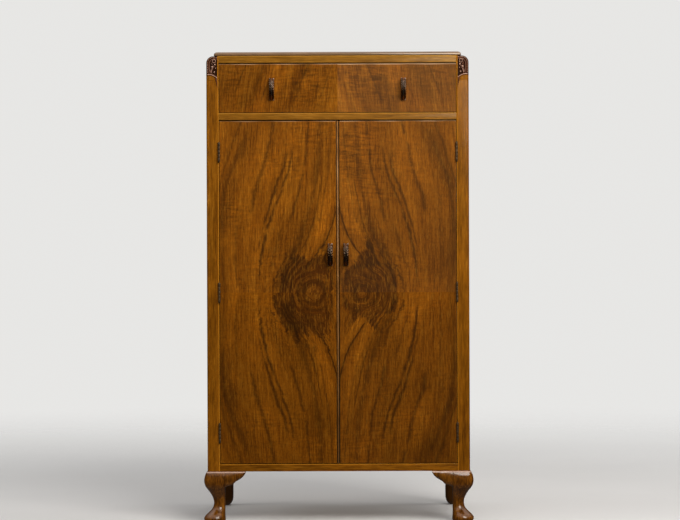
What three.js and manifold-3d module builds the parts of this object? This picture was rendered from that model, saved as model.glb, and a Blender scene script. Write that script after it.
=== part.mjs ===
// A compact walnut wardrobe: one long drawer over a pair of flush doors, on short cabriole front legs.
// Millimetres, +Z up, the front faces -Y, and +X is to the right of someone facing the front.
// The origin is on the floor, in the middle of the overall width and near the middle of the depth.

import * as THREE from 'three';
import { mergeVertices } from 'three/addons/utils/BufferGeometryUtils.js';
import Module from 'manifold-3d';

// ---------------------------------------------------------------- shared dimensions
// Names ending in _X are distances from the middle plane; pairs ending in _Z are [low, high].

const HALF_W = 343; // half the width of the case
const FRONT = -216; // y of the case's front face
const BACK = 241; // y of the case's back
const CASE_BOTTOM = 134;
const CASE_TOP = 1220; // underside of the top board
const FIT = 0.3; // gap left between pieces that are glued or rest on each other
const OVER = 1; // how far a cutter or mask runs past the faces it clears

const STILE_W = 32;
const STILE_D = 24;
const SIDE_T = 19;
const RAIL_D = 20;
const BACK_T = 6;
const BACK_PANEL_X = 330;
const OPENING_X = HALF_W - STILE_W;
const SIDE_INNER_X = HALF_W - SIDE_T;
const INSIDE_X = SIDE_INNER_X - FIT;
const BEHIND_RAIL = FRONT + RAIL_D + FIT;
const BEHIND_STILE = FRONT + STILE_D + FIT;
const INSIDE_BACK = BACK - BACK_T - 2 * FIT;

const BOTTOM_RAIL_Z = [CASE_BOTTOM, 153];
const MIDDLE_RAIL_Z = [1051, 1070];
const TOP_RAIL_Z = [1200, CASE_TOP - FIT];

const CARVING = { height: 64, width: 28.4, depth: 12, proud: 1.5, arrisR: 7 };

const JOINT_GAP = 1.4; // beside the doors and the drawer front, and between bead and right door
const FRONT_OUTER_X = OPENING_X - JOINT_GAP; // outer edge of the doors and the drawer front

const HINGE_Z = [234.5, 601, 968];
const HINGE_H = 50.8;
const HINGE_AXIS_X = (OPENING_X + FRONT_OUTER_X) / 2;
const HINGE_AXIS_Y = FRONT - 3.2;
const LEAF_D = 17;
const HOUSING_DEPTH = 1.2; // of the shallow seat for a hinge leaf

const SIDES = [
	['left', -1],
	['right', 1]
];

// ---------------------------------------------------------------- finishes

const finish = (name, look) => new THREE.MeshStandardMaterial({ name, ...look });

const walnutVeneer = finish('walnut_veneer', { color: 0x7a4a1a, roughness: 0.32, metalness: 0 });
const walnutSolid = finish('walnut_solid', { color: 0x80521d, roughness: 0.35, metalness: 0 });
const walnutCarved = finish('walnut_carved', { color: 0x4a2a1c, roughness: 0.3, metalness: 0 });
const drawerOak = finish('drawer_lining', { color: 0xb08a58, roughness: 0.55, metalness: 0 });
const plywood = finish('plywood', { color: 0xa88458, roughness: 0.65, metalness: 0 });
const bronze = finish('bronze', { color: 0x3a3029, roughness: 0.38, metalness: 0.85 });
const agedBrass = finish('aged_brass', { color: 0x6e5430, roughness: 0.42, metalness: 0.9 });
const brass = finish('brass', { color: 0xb08d4a, roughness: 0.3, metalness: 0.95 });
const steel = finish('steel', { color: 0x9a9a98, roughness: 0.25, metalness: 1 });

// ---------------------------------------------------------------- solids

const wasm = await Module();
wasm.setup();

function toSolid(geometry) {
	const bare = geometry.clone();
	for (const key of Object.keys(bare.attributes)) {
		if (key !== 'position') bare.deleteAttribute(key);
	}
	const merged = mergeVertices(bare, 1e-4);
	return new wasm.Manifold(
		new wasm.Mesh({
			numProp: 3,
			vertProperties: new Float32Array(merged.attributes.position.array),
			triVerts: new Uint32Array(merged.index.array)
		})
	);
}

function toGeometry(solid) {
	const mesh = solid.getMesh();
	const positions = new Float32Array(mesh.numVert * 3);
	for (let i = 0; i < mesh.numVert; i++) {
		for (let k = 0; k < 3; k++) {
			positions[3 * i + k] = mesh.vertProperties[i * mesh.numProp + k];
		}
	}
	const geometry = new THREE.BufferGeometry();
	geometry.setAttribute('position', new THREE.BufferAttribute(positions, 3));
	geometry.setIndex(new THREE.BufferAttribute(new Uint32Array(mesh.triVerts), 1));
	geometry.computeVertexNormals();
	return geometry;
}

const cut = (body, ...tools) =>
	toGeometry(tools.reduce((solid, tool) => solid.subtract(toSolid(tool)), toSolid(body)));
const join = (body, ...others) =>
	toGeometry(others.reduce((solid, other) => solid.add(toSolid(other)), toSolid(body)));
const common = (first, second) => toGeometry(toSolid(first).intersect(toSolid(second)));

// ---------------------------------------------------------------- shapes

// A block given by its [low, high] limits on each axis.
const block = ([x0, x1], [y0, y1], [z0, z1]) =>
	new THREE.BoxGeometry(x1 - x0, y1 - y0, z1 - z0).translate(
		(x0 + x1) / 2,
		(y0 + y1) / 2,
		(z0 + z1) / 2
	);

// Right-hand points or x limits, carried to the left when the sign is -1.
const onSide = (sign, points) => points.map(([x, other]) => [sign * x, other]);
const spanOn = (sign, [inner, outer]) => (sign > 0 ? [inner, outer] : [-outer, -inner]);

const vectors = (points) => points.map(([u, v]) => new THREE.Vector2(u, v));
const extrude = (shape, depth, curveSegments = 8) =>
	new THREE.ExtrudeGeometry(shape, { depth, bevelEnabled: false, curveSegments });
const prism = (points, [low, high]) => extrude(new THREE.Shape(vectors(points)), high - low);

// Plan outlines (x, y) are raised in z, front outlines (x, z) run back in y,
// and side outlines (y, z) run across in x.
const alongZ = (points, span) => prism(points, span).translate(0, 0, span[0]);
const alongY = (points, span) => prism(points, span).rotateX(Math.PI / 2).translate(0, span[1], 0);
function alongX(points, span) {
	const turn = new THREE.Matrix4().makeBasis(
		new THREE.Vector3(0, 1, 0),
		new THREE.Vector3(0, 0, 1),
		new THREE.Vector3(1, 0, 0)
	);
	return prism(points, span).applyMatrix4(turn).translate(span[0], 0, 0);
}

const uprightCylinder = (radius, [z0, z1], segments, x, y) =>
	new THREE.CylinderGeometry(radius, radius, z1 - z0, segments)
		.rotateX(Math.PI / 2)
		.translate(x, y, (z0 + z1) / 2);

// A profile of (radius, height) points turned about a vertical axis.
const uprightLathe = (profile, segments, x, y, z) =>
	new THREE.LatheGeometry(vectors(profile), segments).rotateX(Math.PI / 2).translate(x, y, z);

// Points of an arc, between two angles in degrees.
const arc = (centreU, centreV, radius, from, to, steps) =>
	Array.from({ length: steps + 1 }, (_, i) => {
		const angle = ((from + ((to - from) * i) / steps) * Math.PI) / 180;
		return [centreU + radius * Math.cos(angle), centreV + radius * Math.sin(angle)];
	});

// A closed skin over rings of equally many points, with flat ends.
function loft(rings) {
	const count = rings[0].length;
	const positions = rings.flat(2);
	const faces = [];
	for (let i = 0; i + 1 < rings.length; i++) {
		for (let j = 0; j < count; j++) {
			const k = (j + 1) % count;
			const [here, above] = [i * count, (i + 1) * count];
			faces.push(here + j, here + k, above + k, here + j, above + k, above + j);
		}
	}

	const centre = (ring) => [0, 1, 2].map((k) => ring.reduce((sum, p) => sum + p[k], 0) / count);
	const firstCentre = positions.length / 3;
	const lastRing = (rings.length - 1) * count;
	positions.push(...centre(rings[0]), ...centre(rings[rings.length - 1]));
	for (let j = 0; j < count; j++) {
		const k = (j + 1) % count;
		faces.push(firstCentre, k, j, firstCentre + 1, lastRing + j, lastRing + k);
	}

	// A negative volume means that the faces look inwards, so they are turned over.
	let volume = 0;
	for (let i = 0; i < faces.length; i += 3) {
		const [a, b, c] = [0, 1, 2].map((k) =>
			new THREE.Vector3().fromArray(positions, faces[i + k] * 3)
		);
		volume += a.dot(b.cross(c));
	}
	if (volume < 0) {
		for (let i = 0; i < faces.length; i += 3) {
			[faces[i + 1], faces[i + 2]] = [faces[i + 2], faces[i + 1]];
		}
	}

	const geometry = new THREE.BufferGeometry();
	geometry.setAttribute('position', new THREE.Float32BufferAttribute(positions, 3));
	geometry.setIndex(faces);
	geometry.computeVertexNormals();
	return geometry;
}

// ---------------------------------------------------------------- groups

const wardrobe = new THREE.Group();
const caseGroup = new THREE.Group();
const drawer = new THREE.Group();
const doors = { left: new THREE.Group(), right: new THREE.Group() };
// Each door turns about its hinge axis.
for (const [side, sign] of SIDES) doors[side].position.set(sign * HINGE_AXIS_X, HINGE_AXIS_Y, 0);
wardrobe.add(caseGroup, drawer, doors.left, doors.right);

// Adds a piece whose geometry is given in the wardrobe's frame.
// The mesh's origin is the middle of its box, to the nearest millimetre.
function add(group, name, geometry, material) {
	geometry.computeBoundingBox();
	const middle = geometry.boundingBox.getCenter(new THREE.Vector3()).round();
	const centred = geometry.clone().translate(-middle.x, -middle.y, -middle.z);
	const mesh = new THREE.Mesh(centred, material);
	mesh.name = name;
	mesh.position.copy(middle).sub(group.position);
	group.add(mesh);
}

// ---------------------------------------------------------------- case sides and stiles

const SHOULDER_R = 18; // rounded top outer corner of the sides, stiles and carvings
const STILE_ARRIS_R = 6;
const THICKENING = { x: 297, z: 1184 }; // inner face and underside of the sides' thick tops

// Front outline from the inner bottom corner, up the outer edge and over the shoulder.
const shoulderEdge = (inner, [z0, z1]) => [
	[inner, z0],
	[HALF_W, z0],
	...arc(HALF_W - SHOULDER_R, z1 - SHOULDER_R, SHOULDER_R, 0, 90, 7)
];
const shoulderOutline = (inner, span) => [...shoulderEdge(inner, span), [inner, span[1]]];

// Plan outline with a rounded front outer arris.
const arrisPlan = (inner, front, back, radius) => [
	[inner, front],
	...arc(HALF_W - radius, front + radius, radius, -90, 0, 5),
	[HALF_W, back],
	[inner, back]
];

// Each side is thickened at the top, where it carries the top board and keeps the drawer
// from tipping, and rebated for the back.
function sidePanel(sign) {
	const rebateX = BACK_PANEL_X + FIT;
	const rebateY = BACK - BACK_T - FIT;
	const top = CASE_TOP - FIT;
	const plan = [
		[THICKENING.x, BEHIND_STILE],
		[HALF_W, BEHIND_STILE],
		[HALF_W, BACK],
		[rebateX, BACK],
		[rebateX, rebateY],
		[THICKENING.x, rebateY]
	];
	const front = [
		...shoulderEdge(SIDE_INNER_X, [CASE_BOTTOM, top]),
		[THICKENING.x - OVER, top],
		[THICKENING.x - OVER, THICKENING.z],
		[SIDE_INNER_X, THICKENING.z]
	];
	return common(
		alongZ(onSide(sign, plan), [CASE_BOTTOM, CASE_TOP]),
		alongY(onSide(sign, front), [FRONT, BACK + OVER])
	);
}

// Cutters for the hinge leaves' housings, between two distances from the middle plane.
const hingeHousings = (sign, span) =>
	HINGE_Z.map((z) =>
		block(
			spanOn(sign, span),
			[FRONT - OVER, FRONT + LEAF_D + FIT],
			[z - HINGE_H / 2 - FIT, z + HINGE_H / 2 + FIT]
		)
	);

// Each stile has a rounded outer arris, a seat at the top for the carving,
// and three shallow housings for the hinge leaves.
function stile(sign) {
	const plan = arrisPlan(OPENING_X, FRONT, FRONT + STILE_D, STILE_ARRIS_R);
	const front = shoulderOutline(OPENING_X - OVER, [CASE_BOTTOM - OVER, CASE_TOP - FIT]);
	const post = common(
		alongZ(onSide(sign, plan), [CASE_BOTTOM, CASE_TOP]),
		alongY(onSide(sign, front), [FRONT - OVER, FRONT + STILE_D + OVER])
	);
	const carvingSeat = block(
		spanOn(sign, [HALF_W - CARVING.width - FIT, HALF_W + OVER]),
		[FRONT - OVER, FRONT + CARVING.depth + FIT],
		[CASE_TOP - CARVING.height - FIT, CASE_TOP + OVER]
	);
	const housings = hingeHousings(sign, [OPENING_X - OVER, OPENING_X + HOUSING_DEPTH]);
	return cut(post, carvingSeat, ...housings);
}

function cornerCarving(sign) {
	const inner = HALF_W - CARVING.width;
	const low = CASE_TOP - CARVING.height;
	const face = FRONT - CARVING.proud;
	const back = FRONT + CARVING.depth;
	const front = shoulderOutline(inner, [low, CASE_TOP - FIT]);
	const plan = arrisPlan(inner - OVER, face, back + OVER, CARVING.arrisR);
	return common(
		alongY(onSide(sign, front), [face - OVER, back]),
		alongZ(onSide(sign, plan), [low - OVER, CASE_TOP + OVER])
	);
}

for (const [side, sign] of SIDES) {
	add(caseGroup, side + '_side', sidePanel(sign), walnutVeneer);
	add(caseGroup, side + '_front_stile', stile(sign), walnutSolid);
	add(caseGroup, side + '_corner_carving', cornerCarving(sign), walnutCarved);
}

// ---------------------------------------------------------------- rails and boards

const RAIL_X = OPENING_X - FIT;
for (const [name, span] of [
	['bottom_rail', BOTTOM_RAIL_Z],
	['middle_rail', MIDDLE_RAIL_Z],
	['top_rail', TOP_RAIL_Z]
]) {
	add(caseGroup, name, block([-RAIL_X, RAIL_X], [FRONT, FRONT + RAIL_D], span), walnutSolid);
}

// The top board has a thumbnail edge along its front and stops short of the case's outer faces.
const TOP_BOARD_X = 323;
const TOP_BOARD_Z = [CASE_TOP, CASE_TOP + 10];
function topBoard() {
	const [low, high] = TOP_BOARD_Z;
	const profile = [
		[BACK, low],
		[BACK, high],
		[FRONT + 3, high],
		[FRONT, high - 1.2],
		[FRONT - 1.5, high - 3.5],
		[FRONT - 2, high - 5.5],
		[FRONT - 1.5, low]
	];
	return alongX(profile, [-TOP_BOARD_X, TOP_BOARD_X]);
}
add(caseGroup, 'top_board', topBoard(), walnutVeneer);

// The bottom board stands above its rail, so that its front edge is the doors' stop.
const DOOR_STOP_H = 6;
const BOTTOM_BOARD_Z = [CASE_BOTTOM + 9, BOTTOM_RAIL_Z[1] + DOOR_STOP_H];
function bottomBoard() {
	const rightHalf = [
		[RAIL_X, BEHIND_RAIL],
		[RAIL_X, BEHIND_STILE],
		[INSIDE_X, BEHIND_STILE],
		[INSIDE_X, INSIDE_BACK]
	];
	return alongZ([...rightHalf, ...onSide(-1, rightHalf).reverse()], BOTTOM_BOARD_Z);
}

const backPanel = block(
	[-BACK_PANEL_X, BACK_PANEL_X],
	[BACK - BACK_T, BACK],
	[BOTTOM_BOARD_Z[0], CASE_TOP - FIT]
);
add(caseGroup, 'back_panel', backPanel, plywood);
add(caseGroup, 'bottom_board', bottomBoard(), plywood);

// ---------------------------------------------------------------- drawer runners, dust board

const DRAWER_OUTER_X = 309;
const RUNNER_INNER_X = 296;
const RUNNER_Z = [1054, MIDDLE_RAIL_Z[1]];
const GUIDE = { play: 1.5, height: 16 }; // the runner's raised part beside the drawer
const DUST_GROOVE = { depth: 6, z: [1058, 1062.6] };

// Each runner carries one side of the drawer and guides it, and is grooved for the dust board.
function drawerRunner(sign) {
	const [low, top] = RUNNER_Z;
	const [grooveLow, grooveHigh] = DUST_GROOVE.z;
	const grooveX = RUNNER_INNER_X + DUST_GROOVE.depth;
	const guideX = DRAWER_OUTER_X + GUIDE.play;
	const profile = [
		[RUNNER_INNER_X, low],
		[INSIDE_X, low],
		[INSIDE_X, top + GUIDE.height],
		[guideX, top + GUIDE.height],
		[guideX, top],
		[RUNNER_INNER_X, top],
		[RUNNER_INNER_X, grooveHigh],
		[grooveX, grooveHigh],
		[grooveX, grooveLow],
		[RUNNER_INNER_X, grooveLow]
	];
	return alongY(onSide(sign, profile), [BEHIND_STILE, INSIDE_BACK]);
}

function dustBoard() {
	const edge = RUNNER_INNER_X + DUST_GROOVE.depth - FIT;
	const [low, high] = DUST_GROOVE.z;
	return block([-edge, edge], [BEHIND_RAIL, INSIDE_BACK], [low + FIT, high - FIT]);
}

for (const [side, sign] of SIDES) {
	add(caseGroup, side + '_drawer_runner', drawerRunner(sign), drawerOak);
}
add(caseGroup, 'dust_board', dustBoard(), plywood);

// ---------------------------------------------------------------- legs

const LEG_TOP = CASE_BOTTOM - FIT;

// Front legs, from the top down: height, how far the outer faces stand proud of the case,
// how far in the inner faces are, and the radii of the outer, two side and inner corners.
const CABRIOLE = [
	[LEG_TOP, -1, 45, 9, 1.5, 1.5],
	[131, 1.8, 45, 10, 1.5, 1.5],
	[126, 4.8, 45, 12, 1.5, 1.5],
	[118, 7.6, 45, 14, 2, 1.5],
	[108, 9, 45, 16, 3, 2],
	[98, 7.6, 45, 18, 5, 3],
	[90, 3.6, 45, 18, 8, 6],
	[82, -2.4, 45, 17, 11, 10],
	[72, -8.6, 45, 16, 14, 14],
	[62, -13, 45, 15.8, 15.8, 15.8],
	[52, -15, 45, 15, 15, 15],
	[44, -14.4, 45, 15.3, 15.3, 15.3],
	[37, -12, 45, 16.5, 16.5, 16.5],
	[31, -7.6, 45, 18.7, 18.7, 18.7],
	[25, -1, 45, 22, 22, 22],
	[19, 5.4, 45.5, 25.4, 25.4, 25.4],
	[13, 9.4, 46, 27.7, 27.7, 27.7],
	[8, 10.5, 46.5, 28.5, 28.5, 28.5],
	[4, 9.6, 46, 27.8, 27.8, 27.8],
	[1, 6.8, 43.6, 25.2, 25.2, 25.2],
	[0, 4.4, 41.4, 22.9, 22.9, 22.9]
];

// Back legs, plain posts slightly waisted on the outside and rounded at the toe, from the top
// down: height, outer and inner faces across the width, the same two along the depth, radius.
const POST = [
	[LEG_TOP, 0, 45, 0, 45, 3],
	[112, 1.5, 45, 0, 45, 3],
	[92, 0, 45, 0, 45, 3],
	[72, -4, 45, 0, 45, 4],
	[50, -7.5, 45, 0, 45, 5],
	[32, -6.5, 45, 0, 45, 7],
	[20, -2.5, 45, 0, 45, 9],
	[12, 0, 43.5, 0, 43.5, 11],
	[6, 0.5, 40, -1, 40, 12],
	[2, -1, 36, -3, 36, 11],
	[0, -3.5, 33, -5.5, 33, 9]
];

// Places a point given by its distances in from a corner of the case, across and along the depth.
const frontCorner = (sign) => (across, along, z) => [sign * (HALF_W - across), FRONT + along, z];
const rearCorner = (sign) => (across, along, z) => [sign * (HALF_W - across), BACK - along, z];

// One ring of a leg, given its near and far limits across and along, and its corner radii.
// Each arc stops just short of its end, so that neighbouring arcs never share a point.
function legRing([a0, a1], [b0, b1], [outer, side, inner], z, place, steps) {
	const corners = [
		[a0 + outer, b0 + outer, outer, 180],
		[a1 - side, b0 + side, side, 270],
		[a1 - inner, b1 - inner, inner, 0],
		[a0 + side, b1 - side, side, 90]
	];
	return corners.flatMap(([across, along, radius, start]) =>
		arc(across, along, radius, start, start + 90 - 0.01, steps).map(([a, b]) => place(a, b, z))
	);
}

function frontLeg(sign) {
	const place = frontCorner(sign);
	return loft(
		CABRIOLE.map(([z, proud, far, ...radii]) =>
			legRing([-proud, far], [-proud, far], radii, z, place, 4)
		)
	);
}

function rearLeg(sign) {
	const place = rearCorner(sign);
	return loft(
		POST.map(([z, proudAcross, farAcross, proudAlong, farAlong, radius]) => {
			const radii = [radius, radius, radius];
			return legRing([-proudAcross, farAcross], [-proudAlong, farAlong], radii, z, place, 3);
		})
	);
}

// Knee blocks carry the curve of each front leg along the case, inwards and backwards.
// Rows: distance in from the corner, height of the underside, how far the face bulges out.
const KNEE_BLOCK = [
	[45.3, 92.5, 7.8],
	[52, 95.5, 7.2],
	[60, 97.5, 6.4],
	[66.5, 100.5, 5.6],
	[72, 106, 4.8],
	[80, 111.3, 3.8],
	[87, 115.5, 3],
	[94, 122, 2.2],
	[99, 129.5, 1.4]
];

// Takes a function that places (distance from the corner, depth behind the case's face, z).
function kneeBlock(place) {
	const rings = KNEE_BLOCK.map(([distance, low, bulge]) => {
		const height = LEG_TOP - low;
		return [
			[26, LEG_TOP],
			[0.8, LEG_TOP],
			[-bulge * 0.5, LEG_TOP - Math.min(3, 0.3 * height)],
			[-bulge, LEG_TOP - 0.45 * height],
			[-bulge * 0.85, LEG_TOP - 0.75 * height],
			[-bulge * 0.3, LEG_TOP - 0.94 * height],
			[3, low],
			[22, low + 1],
			[26, low + 0.12 * height]
		].map(([depth, z]) => place(distance, depth, z));
	});
	return loft(rings);
}

for (const [side, sign] of SIDES) {
	const corner = frontCorner(sign);
	const sideways = (distance, depth, z) => corner(depth, distance, z);
	add(caseGroup, 'front_' + side + '_leg', frontLeg(sign), walnutSolid);
	add(caseGroup, 'rear_' + side + '_leg', rearLeg(sign), walnutSolid);
	add(caseGroup, 'front_' + side + '_knee_block', kneeBlock(corner), walnutSolid);
	add(caseGroup, side + '_side_knee_block', kneeBlock(sideways), walnutSolid);
}

// ---------------------------------------------------------------- hanging rail

const HANGING_RAIL = { radius: 9.5, wall: 1.5, halfLength: 320, y: 20, z: 1012 };

function hangingRail() {
	const { radius, wall, halfLength, y, z } = HANGING_RAIL;
	const tube = new THREE.Shape().absarc(0, 0, radius, 0, Math.PI * 2);
	tube.holes.push(new THREE.Path().absarc(0, 0, radius - wall, 0, Math.PI * 2, true));
	return extrude(tube, 2 * halfLength, 10)
		.rotateY(Math.PI / 2)
		.translate(-halfLength, y, z);
}

// Socket profile: radius, and distance from the side of the case.
const SOCKET = [
	[0, 0], [21, 0], [21, 1.4], [19.6, 2.5], [12.6, 2.8],
	[12.6, 14.2], [11.8, 15], [10, 15], [10, 3], [0, 3]
];
const railSocket = (sign) =>
	new THREE.LatheGeometry(vectors(SOCKET), 24)
		.rotateZ((sign * Math.PI) / 2)
		.translate(sign * INSIDE_X, HANGING_RAIL.y, HANGING_RAIL.z);

add(caseGroup, 'hanging_rail', hangingRail(), brass);
for (const [side, sign] of SIDES) add(caseGroup, side + '_rail_socket', railSocket(sign), brass);

// ---------------------------------------------------------------- hinges

const KNUCKLE_R = 3;
const KNUCKLES = 5;
const LEAF_T = 1.4;
const LEAF_OFFSET = 0.2; // from the hinge axis to the near face of each leaf
const PIN_R = 1.2;
const PIN_PLAY = 0.08;
const FRAME_LEAF = {
	x: [HINGE_AXIS_X + LEAF_OFFSET, HINGE_AXIS_X + LEAF_OFFSET + LEAF_T],
	knuckles: [0, 2, 4]
};
const DOOR_LEAF = {
	x: [HINGE_AXIS_X - LEAF_OFFSET - LEAF_T, HINGE_AXIS_X - LEAF_OFFSET],
	knuckles: [1, 3]
};

// Limits of one knuckle, counted from the bottom, with half a gap at each joint.
function knuckleSpan(z, i) {
	const pitch = HINGE_H / KNUCKLES;
	const low = z - HINGE_H / 2 + i * pitch;
	return [low + (i === 0 ? 0 : FIT / 2), low + pitch - (i === KNUCKLES - 1 ? 0 : FIT / 2)];
}

// One leaf of a butt hinge: a flat plate, its share of the knuckles, and the pin hole through them.
function hingeLeaf(sign, z, { x, knuckles }) {
	const plateX = spanOn(sign, x);
	const barrel = (span, radius, segments) =>
		uprightCylinder(radius, span, segments, sign * HINGE_AXIS_X, HINGE_AXIS_Y);
	const parts = knuckles.flatMap((i) => {
		const span = knuckleSpan(z, i);
		return [barrel(span, KNUCKLE_R, 20), block(plateX, [HINGE_AXIS_Y, FRONT + 2], span)];
	});
	const plate = block(
		plateX,
		[FRONT + 0.4, FRONT + LEAF_D],
		[z - HINGE_H / 2, z + HINGE_H / 2]
	);
	return cut(join(plate, ...parts), barrel([z - HINGE_H, z + HINGE_H], PIN_R + PIN_PLAY, 16));
}

// Pin head profile, from the tip inwards: radius, and distance beyond the end of the knuckles.
const PIN_HEAD = [[0, 1.6], [1.4, 1.3], [2.3, 0.3], [PIN_R, 0.3]];
function hingePin(sign, z) {
	const upper = PIN_HEAD.map(([radius, beyond]) => [radius, HINGE_H / 2 + beyond]);
	const lower = upper.map(([radius, height]) => [radius, -height]);
	const profile = [...lower, ...upper.reverse()];
	return uprightLathe(profile, 12, sign * HINGE_AXIS_X, HINGE_AXIS_Y, z);
}

for (const [side, sign] of SIDES) {
	['bottom', 'middle', 'top'].forEach((level, i) => {
		const z = HINGE_Z[i];
		const label = `${side}_${level}_hinge_`;
		add(caseGroup, label + 'frame_leaf', hingeLeaf(sign, z, FRAME_LEAF), agedBrass);
		add(doors[side], label + 'door_leaf', hingeLeaf(sign, z, DOOR_LEAF), agedBrass);
		add(caseGroup, label + 'pin', hingePin(sign, z), agedBrass);
	});
}

// ---------------------------------------------------------------- handles

const HANDLE_HALF_W = 7;
const DRAWER_HANDLE = { x: 172, z: 1132 };
const DOOR_HANDLE = { x: 20.6, z: 700 };

// Upper half of a bow pull's outer and inner edges: distance out from its feet, and height.
const BOW_OUTER = [[0, 30], [4.5, 30], [10.5, 27.4], [16.5, 23], [21, 16.8], [23.8, 9], [24.7, 0]];
const BOW_INNER = [[17.6, 0], [16.4, 7.4], [13.2, 13.6], [8.6, 18], [3.6, 19.5], [0, 19.5]];

function bowHandle(x, z) {
	const lowerHalf = (rows) => rows.map(([out, height]) => [out, -height]).reverse();
	const loop = [
		...BOW_OUTER,
		...lowerHalf(BOW_OUTER.slice(0, -1)),
		...lowerHalf(BOW_INNER),
		...BOW_INNER.slice(1)
	];
	return alongX(
		loop.map(([out, height]) => [FRONT - FIT - out, z + height]),
		[x - HANDLE_HALF_W, x + HANDLE_HALF_W]
	);
}

for (const [side, sign] of SIDES) {
	const onDrawer = bowHandle(sign * DRAWER_HANDLE.x, DRAWER_HANDLE.z);
	const onDoor = bowHandle(sign * DOOR_HANDLE.x, DOOR_HANDLE.z);
	add(drawer, `drawer_${side}_handle`, onDrawer, bronze);
	add(doors[side], side + '_door_handle', onDoor, bronze);
}

// ---------------------------------------------------------------- drawer

const DRAWER_GAP = 1.5; // above and below the drawer front
const DRAWER_FRONT_Z = [MIDDLE_RAIL_Z[1] + DRAWER_GAP, TOP_RAIL_Z[0] - DRAWER_GAP];
const DRAWER_FRONT_T = 20;
const DRAWER_INNER_X = DRAWER_OUTER_X - 10; // inner face of the drawer's sides
const DRAWER_SIDE_Z = [1070.4, 1180];
const DRAWER_BACK_Y = FRONT + 420;
const DRAWER_BOTTOM_Z = [1080, 1085];
const DRAWER_BOTTOM_FRONT = FRONT + 14;
const BOTTOM_GROOVE_X = DRAWER_INNER_X + 5;
const BOTTOM_GROOVE_Z = [DRAWER_BOTTOM_Z[0] - FIT, DRAWER_BOTTOM_Z[1] + FIT];

// Dovetails: tails at the front of each drawer side, in sockets cut in the drawer front.
const TAILS = 4;
const TAIL_TIP = { y: FRONT + 6.3, halfH: 9.8 };
const TAIL_ROOT = { y: FRONT + DRAWER_FRONT_T + FIT, halfH: 7.2 };
const TAIL_PITCH = (DRAWER_SIDE_Z[1] - DRAWER_SIDE_Z[0]) / TAILS;

// Side outline of one tail; a socket is grown by the fit and runs out past the root.
function tailOutline(i, grow, past) {
	const z = DRAWER_SIDE_Z[0] + TAIL_PITCH * (i + 0.5);
	const rootH = TAIL_ROOT.halfH + grow;
	const tipH = TAIL_TIP.halfH + grow;
	return [
		[TAIL_ROOT.y + past, z - rootH],
		[TAIL_TIP.y - grow, z - tipH],
		[TAIL_TIP.y - grow, z + tipH],
		[TAIL_ROOT.y + past, z + rootH]
	];
}
const tailOutlines = (grow, past) =>
	Array.from({ length: TAILS }, (_, i) => tailOutline(i, grow, past));

function drawerSide(sign) {
	const [low, high] = DRAWER_SIDE_Z;
	const outline = [
		[DRAWER_BACK_Y, low],
		[TAIL_ROOT.y, low],
		...tailOutlines(0, 0).flat(),
		[TAIL_ROOT.y, high],
		[DRAWER_BACK_Y, high]
	];
	const groove = block(
		spanOn(sign, [DRAWER_INNER_X - OVER, BOTTOM_GROOVE_X]),
		[FRONT, DRAWER_BACK_Y + OVER],
		BOTTOM_GROOVE_Z
	);
	return cut(alongX(outline, spanOn(sign, [DRAWER_INNER_X, DRAWER_OUTER_X])), groove);
}

function drawerFront() {
	const back = FRONT + DRAWER_FRONT_T;
	const board = block([-FRONT_OUTER_X, FRONT_OUTER_X], [FRONT, back], DRAWER_FRONT_Z);
	const socketX = [DRAWER_INNER_X - FIT, DRAWER_OUTER_X + OVER];
	const sockets = SIDES.flatMap(([, sign]) =>
		tailOutlines(FIT, 1).map((outline) => alongX(outline, spanOn(sign, socketX)))
	);
	const groove = block(
		[-BOTTOM_GROOVE_X, BOTTOM_GROOVE_X],
		[DRAWER_BOTTOM_FRONT - FIT, back + OVER],
		BOTTOM_GROOVE_Z
	);
	return cut(board, ...sockets, groove);
}

const drawerBottom = block(
	[-(BOTTOM_GROOVE_X - FIT), BOTTOM_GROOVE_X - FIT],
	[DRAWER_BOTTOM_FRONT, DRAWER_BACK_Y - 1],
	DRAWER_BOTTOM_Z
);
const drawerBack = block(
	[-(DRAWER_INNER_X - FIT), DRAWER_INNER_X - FIT],
	[DRAWER_BACK_Y - 16, DRAWER_BACK_Y - 6],
	[DRAWER_BOTTOM_Z[1] + FIT, DRAWER_SIDE_Z[1] - 4]
);

for (const [side, sign] of SIDES) add(drawer, `drawer_${side}_side`, drawerSide(sign), drawerOak);
add(drawer, 'drawer_front', drawerFront(), walnutVeneer);
add(drawer, 'drawer_bottom', drawerBottom, plywood);
add(drawer, 'drawer_back', drawerBack, drawerOak);

// ---------------------------------------------------------------- doors

const DOOR_T = 20;
const DOOR_GAP = 2; // above and below the doors
const DOOR_Z = [BOTTOM_RAIL_Z[1] + DOOR_GAP, MIDDLE_RAIL_Z[0] - DOOR_GAP];
const LEFT_DOOR_CLOSING_X = 4.6;
const BEAD_SPAN = [-LEFT_DOOR_CLOSING_X + FIT, 2.6]; // signed x limits
const BEAD_PROUD = 1.8;
const CLOSING_X = { left: LEFT_DOOR_CLOSING_X, right: BEAD_SPAN[1] + JOINT_GAP };

// A ball catch let into the top edge: a brass barrel with a lip, and a steel ball held under it.
const CATCH = { x: 42, y: FRONT + DOOR_T / 2, radius: 4.5, depth: 13 };
const CATCH_BALL = { radius: 3, drop: 2 }; // drop: from the door's top edge to the ball's centre

// Barrel profile: radius, and height from the door's top edge.
const CATCH_BARREL = [
	[0, -CATCH.depth],
	[CATCH.radius, -CATCH.depth],
	[CATCH.radius, 0],
	[2.75, 0],
	[2.75, -0.6],
	[3.3, -0.6],
	[3.3, -CATCH.depth + 2],
	[0, -CATCH.depth + 2]
];

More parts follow.
